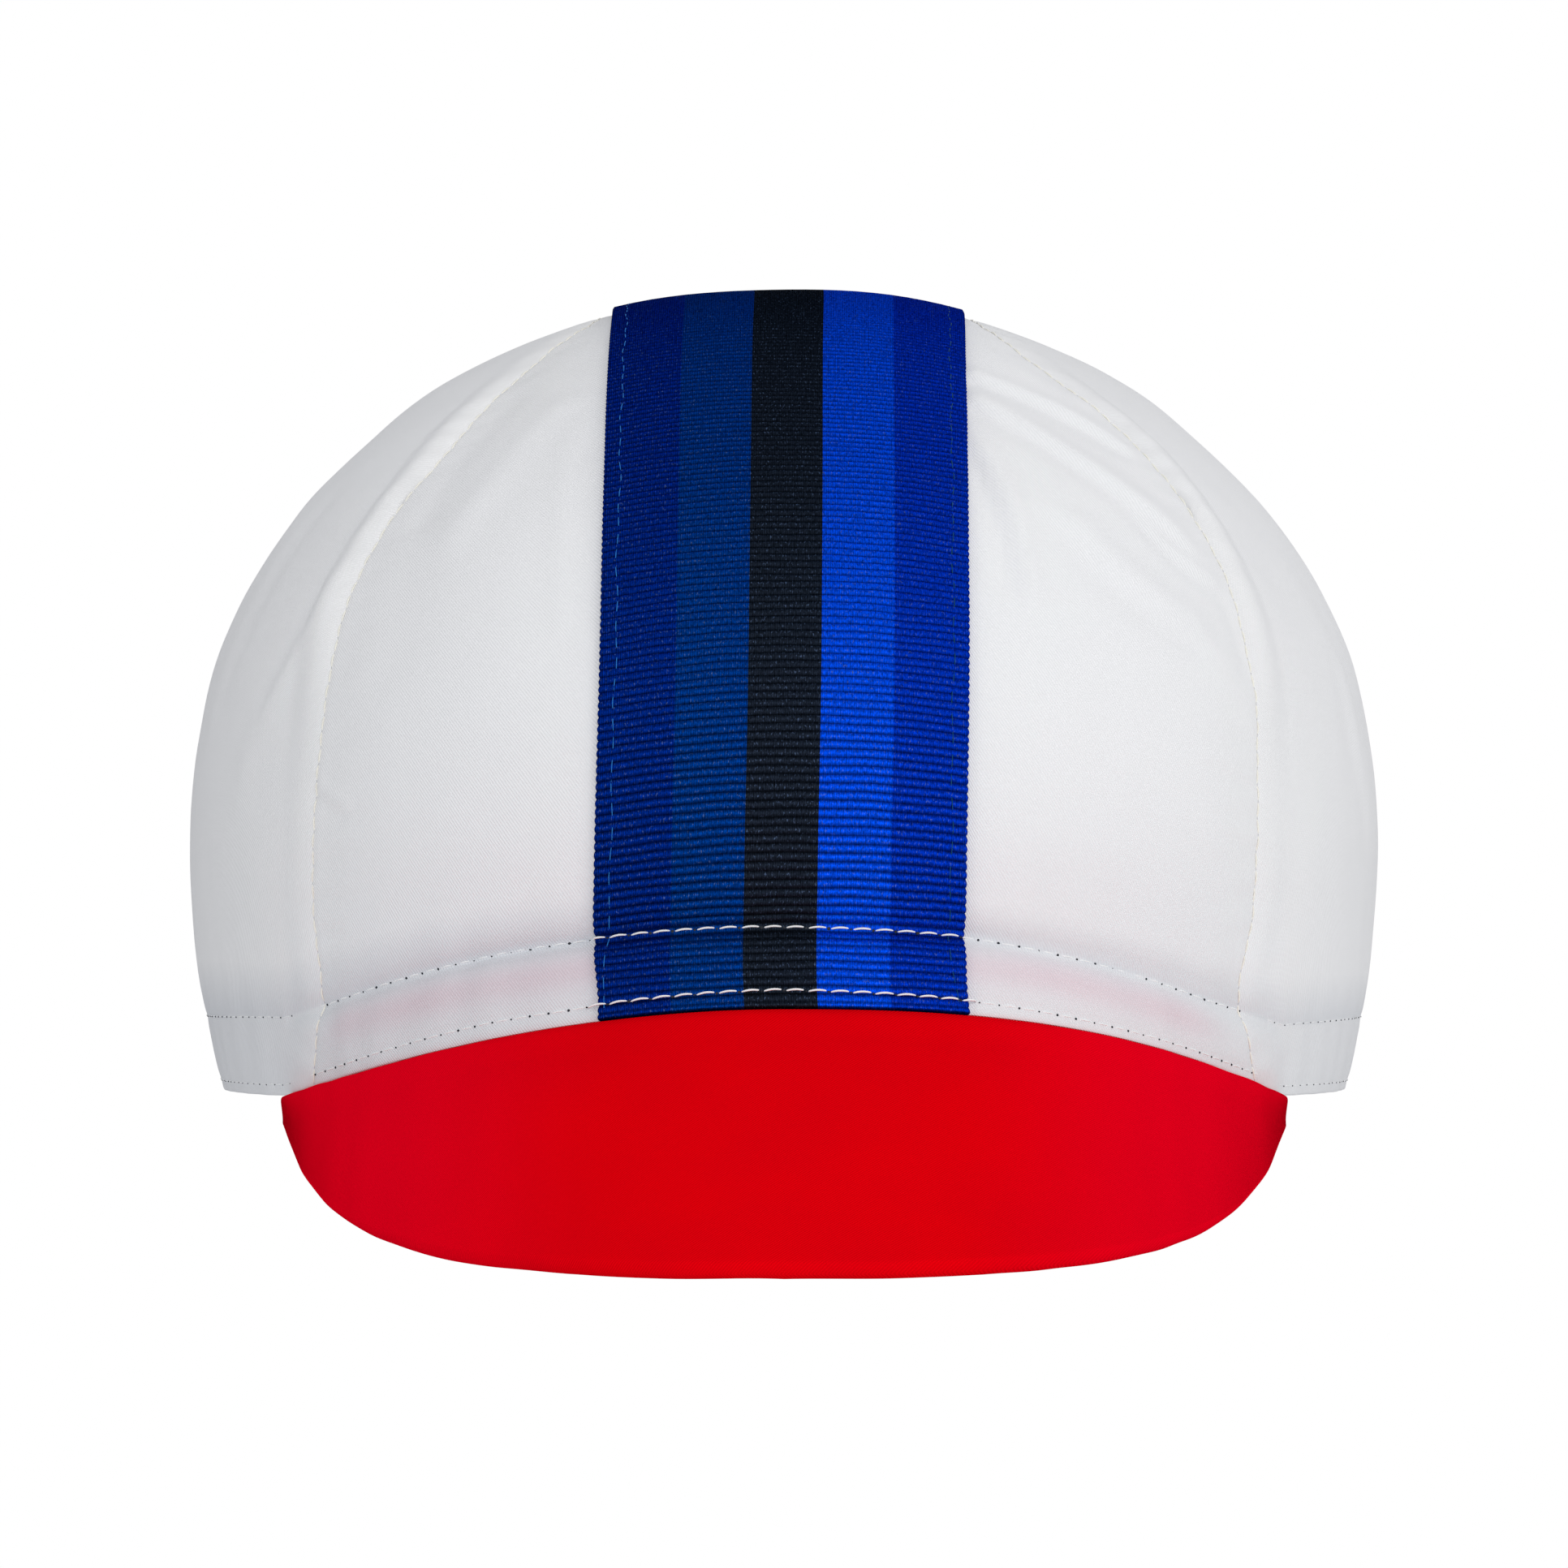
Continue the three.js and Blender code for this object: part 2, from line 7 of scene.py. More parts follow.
import bpy
import numpy as np
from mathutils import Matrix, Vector


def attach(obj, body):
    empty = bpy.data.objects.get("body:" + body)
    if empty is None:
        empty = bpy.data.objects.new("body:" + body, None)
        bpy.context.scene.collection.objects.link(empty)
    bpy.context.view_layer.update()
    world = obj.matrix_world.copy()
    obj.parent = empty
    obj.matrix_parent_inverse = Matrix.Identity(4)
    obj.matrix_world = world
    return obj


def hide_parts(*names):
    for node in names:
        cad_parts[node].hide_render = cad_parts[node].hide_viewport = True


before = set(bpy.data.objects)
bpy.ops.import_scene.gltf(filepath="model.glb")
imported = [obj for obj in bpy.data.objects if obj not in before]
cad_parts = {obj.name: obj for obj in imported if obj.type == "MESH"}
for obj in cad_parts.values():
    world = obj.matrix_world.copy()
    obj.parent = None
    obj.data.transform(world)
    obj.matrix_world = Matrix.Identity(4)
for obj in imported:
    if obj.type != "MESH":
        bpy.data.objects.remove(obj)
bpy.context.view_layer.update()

# The view: a long lens, level with the middle of the crown and straight in front of it. The cap hangs well
# above a pale round floor, because on the real thing the head holds it up.
VIEW_DISTANCE = 1.5
VIEW_HEIGHT = 0.0427
VIEW_LENS = 248.2
SENSOR = 36
FLOOR_HEIGHT = -0.45
FLOOR_RADIUS = 4.2
FLOOR_SIDES = 96
FLOOR_COLOUR = (0.8, 0.8, 0.8, 1)
FLOOR_GRAIN = {"scale": 3.0, "depth": 0.02}
FLOOR_ROUGHNESS = 0.9

camera = bpy.data.objects.new("camera", bpy.data.cameras.new("camera"))
camera.data.sensor_width = SENSOR
camera.data.lens = VIEW_LENS
camera.location = (0, -VIEW_DISTANCE, VIEW_HEIGHT)
camera.rotation_euler = (math.pi / 2, 0, 0)
bpy.context.scene.collection.objects.link(camera)
bpy.context.scene.camera = camera
bpy.context.scene.view_settings.view_transform = "Standard"


def add_node(tree, kind, inputs=(), **settings):
    """A shader node with its settings. An input is a number or colour, or another node's output."""
    node = tree.nodes.new(kind)
    for name, value in settings.items():
        setattr(node, name, value)
    for name, value in dict(inputs).items():
        if isinstance(value, bpy.types.NodeSocket):
            tree.links.new(value, node.inputs[name])
        else:
            node.inputs[name].default_value = value
    return node


def math_node(tree, operation, first, second=0.0, third=0.0):
    """The result of one sum on outputs or numbers."""
    return add_node(tree, "ShaderNodeMath", {0: first, 1: second, 2: third}, operation=operation).outputs[0]


def new_material(name):
    """An empty node material and its tree."""
    material = bpy.data.materials.new(name)
    material.use_nodes = True
    material.node_tree.nodes.clear()
    return material, material.node_tree


def finish_material(tree, shader):
    """Joins the shader to the material's output."""
    add_node(tree, "ShaderNodeOutputMaterial", {"Surface": shader.outputs[0]})


def pale_floor():
    """Matte pale paint: its colour times 1, give or take half the grain's depth."""
    material, tree = new_material("pale_floor")
    place = add_node(tree, "ShaderNodeTexCoord").outputs["Object"]
    grain = add_node(tree, "ShaderNodeTexNoise", {"Vector": place, "Scale": FLOOR_GRAIN["scale"]})
    depth = FLOOR_GRAIN["depth"]
    tone = math_node(tree, "MULTIPLY_ADD", grain.outputs["Fac"], depth, 1 - depth / 2)
    colour = add_node(tree, "ShaderNodeHueSaturation", {"Color": FLOOR_COLOUR, "Value": tone})
    finish_material(tree, add_node(tree, "ShaderNodeBsdfPrincipled", {
        "Base Color": colour.outputs["Color"], "Roughness": FLOOR_ROUGHNESS}))
    return material


def studio_floor():
    """A round flat floor that ends below the view."""
    turn = 2 * math.pi * np.arange(FLOOR_SIDES) / FLOOR_SIDES
    rim = np.stack([FLOOR_RADIUS * np.cos(turn), FLOOR_RADIUS * np.sin(turn), 0 * turn + FLOOR_HEIGHT], -1)
    mesh = bpy.data.meshes.new("studio_floor")
    mesh.from_pydata(rim.tolist(), [], [list(range(FLOOR_SIDES))])
    mesh.materials.append(pale_floor())
    floor = bpy.data.objects.new("studio_floor", mesh)
    bpy.context.scene.collection.objects.link(floor)
    return floor


studio_floor()

# The light is soft: a broad key from the front and the right, a weaker fill on the left, and a pale sky
# all round, which stands as plain white behind the cap.
SKY = (0.96, 0.98, 1.0, 1)
SKY_STRENGTH = 0.4
AIM = Vector((0, 0, 0.05))
LAMPS = {
    "key_light": {"place": (1.2, -1.5, 0.6), "size": 0.9, "power": 8.1, "colour": (1, 0.99, 0.975)},
    "side_light": {"place": (1.9, -0.5, 0.6), "size": 1.0, "power": 6.9, "colour": (1, 1, 1)},
    "fill_light": {"place": (-1.5, -1.3, 0.5), "size": 1.2, "power": 8.0, "colour": (0.985, 0.99, 1)},
    "front_light": {"place": (0, -2.2, 0.35), "size": 1.0, "power": 10.0, "colour": (1, 1, 1)},
    "top_light": {"place": (0.1, 0.2, 1.9), "size": 1.0, "power": 7.4, "colour": (1, 1, 1)},
}

world = bpy.data.worlds.new("studio_sky")
world.use_nodes = True
sky_tree = world.node_tree
sky_tree.nodes.clear()
sky_light = add_node(sky_tree, "ShaderNodeBackground", {"Color": SKY, "Strength": SKY_STRENGTH})
plain_white = add_node(sky_tree, "ShaderNodeBackground", {"Color": (1, 1, 1, 1), "Strength": 1.0})
seen = add_node(sky_tree, "ShaderNodeLightPath").outputs["Is Camera Ray"]
sky_mix = add_node(sky_tree, "ShaderNodeMixShader", {
    0: seen, 1: sky_light.outputs[0], 2: plain_white.outputs[0]})
add_node(sky_tree, "ShaderNodeOutputWorld", {"Surface": sky_mix.outputs[0]})
bpy.context.scene.world = world
for lamp_name, lamp in LAMPS.items():
    light = bpy.data.lights.new(lamp_name, "AREA")
    light.size = lamp["size"]
    light.energy = lamp["power"]
    light.color = lamp["colour"]
    holder = bpy.data.objects.new(lamp_name, light)
    holder.location = lamp["place"]
    holder.rotation_euler = (AIM - Vector(lamp["place"])).to_track_quat("-Z", "Y").to_euler()
    bpy.context.scene.collection.objects.link(holder)

# The centre panel: one length of white cotton twill from the front hem over the top to the back hem,
# wide in front and narrow over the top. All the other pieces lie on the form that it sets.
MM = 0.001
CLOTH = 1.2
SQUARENESS = 2.15
LEAST_SQUARE = 1e-6
HEART = np.array([0, 0, 34.0])
REACH = 160
HALVINGS = 34
SETTLE_STEPS = 14


def table(names, rows):
    """Columns of numbers under their names."""
    return dict(zip(names.split(), np.array(rows, float).T))


CROWN = table("height side front back", [
    [-12, 73.6, 95.5, 86.0],
    [0, 77.6, 96.6, 91.0],
    [12, 80.4, 96.6, 94.5],
    [24, 81.7, 96.3, 97.5],
    [36, 82.15, 96.1, 99.5],
    [48, 81.1, 93.0, 100.0],
    [60, 78.5, 87.1, 98.0],
    [70, 73.9, 80.1, 93.5],
    [80, 67.2, 71.1, 86.5],
    [90, 57.6, 57.9, 75.5],
    [98, 47.8, 44.6, 62.0],
    [104, 36.0, 31.8, 47.0],
    [107.6, 23.4, 20.3, 30.0],
    [110.35, 0, 0, 0],
])
# Half widths of the panel against the angle over the top, 0 degrees ahead and 180 behind
SEAMS = table("angle left right", [
    [-30, 62.5, 63.2],
    [-20, 62.3, 61.6],
    [-15, 62.0, 60.9],
    [-8, 62.9, 62.5],
    [0, 63.0, 63.2],
    [12, 62.1, 63.3],
    [22, 60.9, 62.8],
    [32, 58.4, 60.7],
    [42, 53.6, 56.6],
    [51, 46.9, 51.3],
    [61, 40.8, 43.4],
    [70, 33.4, 33.2],
    [78, 27.6, 27.8],
    [88, 25.3, 25.7],
    [102, 25.1, 25.4],
    [120, 25.8, 26.0],
    [150, 28.2, 28.2],
    [180, 30.5, 30.5],
    [210, 32.5, 32.5],
])
RIBBON_WIDTH = 48.0
RIBBON_MIDDLE = table("angle offset", [
    [-16, 0.0],
    [-10, -0.6],
    [-2, -0.5],
    [12, -0.05],
    [30, 0.2],
    [60, 0.4],
    [80, 0.6],
    [110, 0.3],
    [210, 0.0],
])


def curve_through(at, value):
    """A cubic between each two rows. The slope at a row is the mean of the slopes on its two sides, each
    weighted with the width of the other side. The curve gives the value and its rate of change."""
    step = np.diff(at)
    secant = np.diff(value) / step
    inner = (secant[:-1] * step[1:] + secant[1:] * step[:-1]) / (step[:-1] + step[1:])
    slope = np.concatenate((secant[:1], inner, secant[-1:]))

    def curve(x):
        x = np.clip(x, at[0], at[-1])
        i = np.clip(np.searchsorted(at, x, side="right") - 1, 0, len(step) - 1)
        h = step[i]
        t = (x - at[i]) / h
        a, b = value[i], value[i + 1]
        m, n = slope[i] * h, slope[i + 1] * h
        cubic = (2 * t**3 - 3 * t**2 + 1) * a + (t**3 - 2 * t**2 + t) * m + (3 * t**2 - 2 * t**3) * b
        change = (6 * t**2 - 6 * t) * (a - b) + (3 * t**2 - 4 * t + 1) * m + (3 * t**2 - 2 * t) * n
        return cubic + (t**3 - t**2) * n, change / h

    return curve


side_squared = curve_through(CROWN["height"], CROWN["side"] ** 2)
front_squared = curve_through(CROWN["height"], CROWN["front"] ** 2)
back_squared = curve_through(CROWN["height"], CROWN["back"] ** 2)
seam_left = curve_through(SEAMS["angle"], SEAMS["left"])
seam_right = curve_through(SEAMS["angle"], SEAMS["right"])
ribbon_middle = curve_through(RIBBON_MIDDLE["angle"], RIBBON_MIDDLE["offset"])


def lerp(a, b, share):
    """Straight from a at share 0 to b at share 1."""
    return a + (b - a) * share


def smooth_step(start, end, x):
    """0 before start, 1 after end, and an even S between them."""
    t = np.clip((x - start) / (end - start), 0, 1)
    return t * t * (3 - 2 * t)


def bump(x, middle, reach):
    """A bell of height 1: e to the power of minus the square of the way from its middle over its reach."""
    return np.exp(-(((x - middle) / reach) ** 2))


def unit(v):
    """Each vector over its own length."""
    return v / np.maximum(np.linalg.norm(v, axis=-1, keepdims=True), LEAST_SQUARE)


def section_at(z, front):
    """The half sizes of the cross-section at a height, and how fast their logarithms grow."""
    side, side_rate = side_squared(z)
    ahead, ahead_rate = front_squared(z)
    behind, behind_rate = back_squared(z)
    depth = np.where(front, ahead, behind)
    depth_rate = np.where(front, ahead_rate, behind_rate)
    side = np.maximum(side, LEAST_SQUARE)
    depth = np.maximum(depth, LEAST_SQUARE)
    return np.sqrt(side), np.sqrt(depth), side_rate / side, depth_rate / depth


def fullness(p):
    """Under 1 inside the crown: the sum of the powers of x and y over the section's half sizes."""
    side, depth, _, _ = section_at(p[..., 2], p[..., 1] < 0)
    full = (np.abs(p[..., 0]) / side) ** SQUARENESS + (np.abs(p[..., 1]) / depth) ** SQUARENESS
    return np.where(p[..., 2] >= CROWN["height"][-1], 2.0, full)


def cast_out(start, direction):
    """The crown's points in the directions from the starts, found by halving the distance."""
    along = unit(direction)
    near = np.zeros(along.shape[:-1])
    far = np.full(along.shape[:-1], float(REACH))
    for _ in range(HALVINGS):
        middle = (near + far) / 2
        outside = fullness(start + along * middle[..., None]) > 1
        far = np.where(outside, middle, far)
        near = np.where(outside, near, middle)
    return start + along * near[..., None]


def over_top(x, angle):
    """The points straight out from the cross axis through the heart, x to the side, at angles over it."""
    turn = np.radians(angle)
    zero = np.zeros_like(x)
    start = np.stack([x, zero, zero + HEART[2]], -1)
    return cast_out(start, np.stack([zero, -np.cos(turn), np.sin(turn)], -1))


def normal_at(p):
    """The gradient of the crown's fullness."""
    side, depth, side_rate, depth_rate = section_at(p[..., 2], p[..., 1] < 0)
    x, y = p[..., 0], p[..., 1]
    across = (np.abs(x) / side) ** SQUARENESS
    along = (np.abs(y) / depth) ** SQUARENESS
    nx = np.sign(x) * across / np.maximum(np.abs(x), LEAST_SQUARE)
    ny = np.sign(y) * along / np.maximum(np.abs(y), LEAST_SQUARE)
    return unit(np.stack([nx, ny, LEAST_SQUARE - (across * side_rate + along * depth_rate) / 2], -1))


def angle_of(p):
    """The angle over the top, from -90 degrees below the front to 270 below the back."""
    angle = np.degrees(np.arctan2(p[..., 2] - HEART[2], -p[..., 1]))
    return np.where(angle < -90, angle + 360, angle)


# The hem is nearly level at the sides and back, and arched over the peak. Two rows of stitches run round
# it, and between them and the edge the cloth flares out over the peak.
HEM_SIDE = 0.35
HEM_LEVEL_DEPTH = 42
ARCH_HEIGHT = 12.3
ARCH_HALF = 67
ARCH_POWER_LEFT = 1.9
ARCH_POWER_RIGHT = 2.55
UPPER_STITCH = 10.9
FLARE_HEIGHT = 4.6
FLARE_POWER = 0.8
PINCH = {"front": 1.3, "around": 0.05, "above": 3.8, "below": 1.4, "ribbon": 0.55}
HEM_TAPER = 0.3
WAIST = {"depth": 0.35, "height": 10, "reach": 5.5}
SHOULDER_EASE = {"depth": 0.42, "aside": 40, "reach": 12, "low": 70, "high": 95}
# The heights of the two rows above the hem, against x along the front half
STITCH_ROWS = table("x lower upper", [
    [-82, 1.5, 10.2],
    [-70, 1.5, 10.6],
    [-61, 1.6, 10.6],
    [-48, 2.0, 11.1],
    [-37, 2.2, 11.2],
    [-28, 2.0, 10.9],
    [0, 2.4, 10.6],
    [24, 1.8, 10.1],
    [41, 1.3, 9.3],
    [56, 1.2, 8.7],
    [70, 1.4, 9.8],
    [82, 1.4, 10.2],
])


def hem_height(p):
    """A nearly level plane, and in front an arch: 1 less a power of x over the arch's half width."""
    x, y = p[..., 0], p[..., 1]
    power = np.where(x < 0, ARCH_POWER_LEFT, ARCH_POWER_RIGHT)
    arch = np.where(y < 0, np.maximum(0, 1 - (np.abs(x) / ARCH_HALF) ** power), 0)
    return HEM_SIDE * (1 - y / HEM_LEVEL_DEPTH) + ARCH_HEIGHT * arch


def front_share(p):
    """1 in the middle of the front, 0 past the peak's ends: a power of a quarter wave of the cosine."""
    share = np.cos(math.pi / 2 * np.minimum(1, np.abs(p[..., 0]) / ARCH_HALF)) ** FLARE_POWER
    return np.where(p[..., 1] > 0, 0, share)


def row_height(row, p):
    """The height of a row of stitches above the hem, level round the back."""
    end = STITCH_ROWS["x"][-1]
    x = np.clip(p[..., 0], -end, end)
    return np.interp(np.where(p[..., 1] > 0, end * np.sign(x), x), STITCH_ROWS["x"], STITCH_ROWS[row])


def on_half(x, z, back):
    """The point of the front or the back half at x and z. Its depth is what the power of x leaves of 1."""
    side, depth, _, _ = section_at(z, ~back)
    share = np.maximum(0, 1 - (np.abs(x) / side) ** SQUARENESS)
    return np.stack([x, np.where(back, 1, -1) * depth * share ** (1 / SQUARENESS), z], -1)


def above_hem(x_at, height, back):
    """The points of columns at heights above the hem. Each guess at the points gives the hem's height
    and the columns' x there, and these give the next guess."""
    back = np.zeros(np.shape(height), bool) | back
    angle = np.where(back, 180.0, 0.0)
    z = height + 0.0
    for _ in range(SETTLE_STEPS):
        x = x_at(angle)
        p = on_half(x, z + 0 * x, back)
        angle = angle_of(p)
        z = height + hem_height(p)
    return p


# Folds of the crown: start, middle and end as x and z seen from the front, how high the fold stands, how
# much it leans into a step that is high on the left hand of its way, and how far it spreads
FOLDS = table("x0 z0 x1 z1 x2 z2 height lean spread", [
    [-64.3, 82.8, -71.5, 69.0, -77.5, 53.7, 0.2, 0.0, 5.0],
    [-61.3, 68.1, -67.2, 56.5, -72.3, 45.5, 0.4, 0.0, 4.5],
    [-48.7, 78.1, -50.3, 69.3, -51.9, 59.8, -0.3, 0.0, 5.5],
    [34.0, 99.0, 46.0, 90.0, 57.0, 74.0, 0.25, 0.0, 4.5],
    [27.0, 92.0, 42.0, 82.5, 57.5, 70.2, 0.3, 0.0, 4.5],
    [33.8, 78.6, 49.6, 64.8, 62.0, 53.5, 0.35, 0.0, 5.0],
    [68.5, 72.0, 75.8, 55.8, 80.5, 37.0, 0.25, 0.0, 5.0],
    [21.0, 98.9, 36.0, 93.9, 48.4, 86.0, 0.0, 0.42, 2.4],
    [21.0, 98.9, 36.0, 93.9, 48.4, 86.0, 0.0, 0.22, 1.1],
    [20.5, 96.0, 39.5, 85.9, 56.0, 71.6, 0.0, 0.6, 3.0],
    [20.5, 96.0, 39.5, 85.9, 56.0, 71.6, 0.0, 0.26, 1.1],
    [46.5, 79.6, 52.7, 72.6, 59.3, 68.2, 0.0, 0.42, 1.5],
    [58.9, 67.6, 60.6, 63.6, 61.9, 58.5, -0.32, 0.0, 1.6],
    [24.0, 90.0, 29.2, 79.0, 31.4, 65.0, 0.0, 0.75, 2.0],
    [35.4, 80.1, 45.6, 68.9, 58.5, 60.6, 0.0, 0.62, 3.4],
    [74.2, 62.5, 77.3, 48.0, 79.9, 35.4, 0.0, 0.16, 3.2],
    [55.2, 46.0, 59.5, 44.2, 63.2, 42.3, 0.0, 0.16, 1.3],
    [57.0, 36.5, 61.0, 35.5, 64.0, 34.2, 0.0, 0.1, 1.4],
    [-60.2, 71.5, -65.3, 61.5, -71.2, 50.5, 0.0, 0.26, 2.8],
    [-62.5, 80.5, -70.3, 69.5, -76.3, 55.0, -0.34, 0.0, 3.6],
    [-30.5, 93.5, -37.5, 85.5, -44.0, 76.0, 0.42, 0.0, 3.2],
    [-37.0, 95.0, -43.0, 87.5, -48.5, 78.5, -0.38, 0.0, 3.0],
    [-27.0, 61.5, -27.8, 74.0, -27.4, 93.0, 0.0, 0.26, 2.4],
    [-63.0, 42.6, -60.8, 40.6, -57.4, 38.6, 0.0, 0.18, 1.3],
])
FOLD_STEPS = 10
FOLD_FADE = 0.16
RIBBON_CALM = (23.4, 25.6)
WAVES = 9
WAVE_LENGTHS = (0.75, 1.4)
WAVE_GAIN = 1.6
FOLD_UNDER_RIBBON = 4
UNDULATION = {"strength": 0.2, "size": 34, "seed": 3}
CREPE = {"strength": 0.05, "size": 9, "seed": 8}
PINCH_WAVER = {"strength": 0.15, "size": 18, "seed": 51}
RUCK_WAVER = {"strength": 2, "size": 20, "seed": 5}
PUCKER_WAVER = {"strength": 2.2, "size": 22, "seed": 11}
TUCK_WAVER = {"strength": 2.5, "size": 25, "seed": 21}
GATHER = {"height": 1.4, "pitch": 16, "start": 25, "end": 73, "fade": 42, "radius": 88}
RUCK = {"height": 0.45, "pitch": 5.3, "above": 5.5, "reach": 6.5}
ROW_DIP = {"front": 0.22, "around": 0.08, "reach": 0.8}
PUCKER = {"height": 0.1, "around": 0.4, "pitch": 8.7, "fade": 9}
SEAM_PUCKER = {"height": 0.07, "pitch": 7.4, "fade": 5, "degree": 1.66}
SEAM_PULL = {"depth": 0.45, "reach": 5.0, "top": (98, 105)}


def fold_line(x0, z0, x1, z1, x2, z2):
    """A parabola on the front half through three points, as a chain of straight pieces. Its control point
    is twice the middle point less the mean of the ends."""
    t = np.linspace(0, 1, FOLD_STEPS + 1)
    x_pull, z_pull = 2 * x1 - (x0 + x2) / 2, 2 * z1 - (z0 + z2) / 2
    x = lerp(lerp(x0, x_pull, t), lerp(x_pull, x2, t), t)
    z = lerp(lerp(z0, z_pull, t), lerp(z_pull, z2, t), t)
    return on_half(x, z, np.zeros(len(t), bool))


def fold_rise(p, line, height, lean, spread):
    """A fold along a line: a bell across it, and a step that falls over the line. The distance is the
    shortest one to the line's pieces, and its sign is plus on the left hand of the line's way."""
    least = np.full(p.shape[:-1], np.inf)
    signed = np.zeros(p.shape[:-1])
    along = np.zeros(p.shape[:-1])
    for i, (a, b) in enumerate(zip(line[:-1], line[1:])):
        t = np.clip((p - a) @ (b - a) / ((b - a) @ (b - a)), 0, 1)
        away = p - (a + t[..., None] * (b - a))
        distance = np.linalg.norm(away, axis=-1)
        left_hand = np.cross(unit(a - HEART), unit(b - a))
        nearer = distance < least
        signed = np.where(nearer, distance * np.sign(away @ left_hand), signed)
        along = np.where(nearer, (i + t) / (len(line) - 1), along)
        least = np.minimum(least, distance)
    fade = smooth_step(0, FOLD_FADE, along) * smooth_step(1, 1 - FOLD_FADE, along) if lean else 1
    return (height + 2 * lean * signed / spread) * bump(least, 0, spread) * fade


def soft_noise(p, size, seed):
    """A smooth random field, about -1 to 1: the mean of sines along seeded directions, each with its own
    phase and a wave length near the size."""
    random = np.random.default_rng(seed)
    direction = unit(random.normal(size=(WAVES, 3)))
    number = 2 * math.pi / (size * random.uniform(*WAVE_LENGTHS, WAVES))
    phase = random.uniform(0, 2 * math.pi, WAVES)
    return WAVE_GAIN * np.sin(p @ (direction * number[:, None]).T + phase).mean(-1)


FOLD_KEYS = ("x0", "z0", "x1", "z1", "x2", "z2")
fold_lines = [fold_line(*(FOLDS[key][i] for key in FOLD_KEYS)) for i in range(len(FOLDS["x0"]))]


def waver(p, kind):
    """The smooth random field of one kind of unevenness."""
    return kind["strength"] * soft_noise(p, kind["size"], kind["seed"])


def hem_form(p, height, share, loose):
    """The hem flares in a straight line below the upper row over the peak, and draws in a little elsewhere.
    The cloth has a shallow waist above it, and the upper row pinches it, most of all in front."""
    below = np.maximum(0, 1 - height / UPPER_STITCH)
    out = (FLARE_HEIGHT * share - HEM_TAPER * (1 - share)) * below
    out = out - WAIST["depth"] * (1 - share) * bump(height, WAIST["height"], WAIST["reach"])
    above = height - row_height("upper", p)
    over = np.maximum(0, 1 - above / PINCH["above"]) ** 2
    drawn = np.where(above > 0, over, bump(above, 0, PINCH["below"]))
    depth = lerp(PINCH["around"], PINCH["front"], share ** 0.5) * lerp(PINCH["ribbon"], 1, loose)
    return out - depth * (1 + waver(p, PINCH_WAVER)) * drawn


def crown_folds(p, loose):
    """The crown eased in at its two shoulders, and the sum of the folds. Narrow folds end at the ribbon."""
    shoulder = bump(np.abs(p[..., 0]), SHOULDER_EASE["aside"], SHOULDER_EASE["reach"])
    high = smooth_step(SHOULDER_EASE["low"], SHOULDER_EASE["high"], p[..., 2])
    out = -SHOULDER_EASE["depth"] * shoulder * high
    for i, line in enumerate(fold_lines):
        height, lean, spread = (FOLDS[key][i] for key in ("height", "lean", "spread"))
        out = out + fold_rise(p, line, height, lean, spread) * (loose if spread < FOLD_UNDER_RIBBON else 1)
    return out


def back_gathers(p, height):
    """Waves round the back that the elastic draws up, from the ribbon's edge to the side, widest at the
    hem, with finer rucks over them low down. Both are sines of the way round."""
    round_back = GATHER["radius"] * np.abs(np.arctan2(p[..., 0], p[..., 1]))
    way = np.clip((round_back - GATHER["start"]) / (GATHER["end"] - GATHER["start"]), 0, 1)
    swell = np.sin(math.pi * way)
    fade = np.maximum(0, 1 - np.maximum(0, height) / GATHER["fade"]) ** 2
    wave = np.sin(2 * math.pi * (round_back - GATHER["start"]) / GATHER["pitch"])
    ruck = np.sin(2 * math.pi * round_back / RUCK["pitch"] + waver(p, RUCK_WAVER))
    low = bump(height, RUCK["above"], RUCK["reach"])
    return swell * (GATHER["height"] * fade * wave + RUCK["height"] * ruck * low)


def row_puckers(p, height, share, loose):
    """A narrow dip along each row of stitches, and slow ripples on both its sides, strongest in front."""
    around = GATHER["radius"] * np.arctan2(p[..., 0], p[..., 1])
    ripple = np.sin(2 * math.pi * around / PUCKER["pitch"] + waver(p, PUCKER_WAVER))
    ripple = PUCKER["height"] * ripple * lerp(PUCKER["around"], 1, share) * loose
    dip = lerp(ROW_DIP["around"], ROW_DIP["front"], share)
    out = 0
    for row in ("lower", "upper"):
        above = height - row_height(row, p)
        out = out + ripple * bump(above, 0, PUCKER["fade"]) - dip * bump(above, 0, ROW_DIP["reach"])
    return out


def seam_draw(p, angle, loose):
    """The seams draw the cloth in along them, except at the top, and tuck it in small waves."""
    seam = np.where(p[..., 0] < 0, seam_left(angle)[0], seam_right(angle)[0])
    from_seam = np.abs(np.abs(p[..., 0]) - seam)
    pull = SEAM_PULL["depth"] * smooth_step(*SEAM_PULL["top"][::-1], p[..., 2])
    along = SEAM_PUCKER["degree"] * angle
    tuck = np.sin(2 * math.pi * along / SEAM_PUCKER["pitch"] + waver(p, TUCK_WAVER))
    tuck = SEAM_PUCKER["height"] * tuck * bump(from_seam, 0, SEAM_PUCKER["fade"]) * loose
    return tuck - pull * bump(from_seam, 0, SEAM_PULL["reach"])


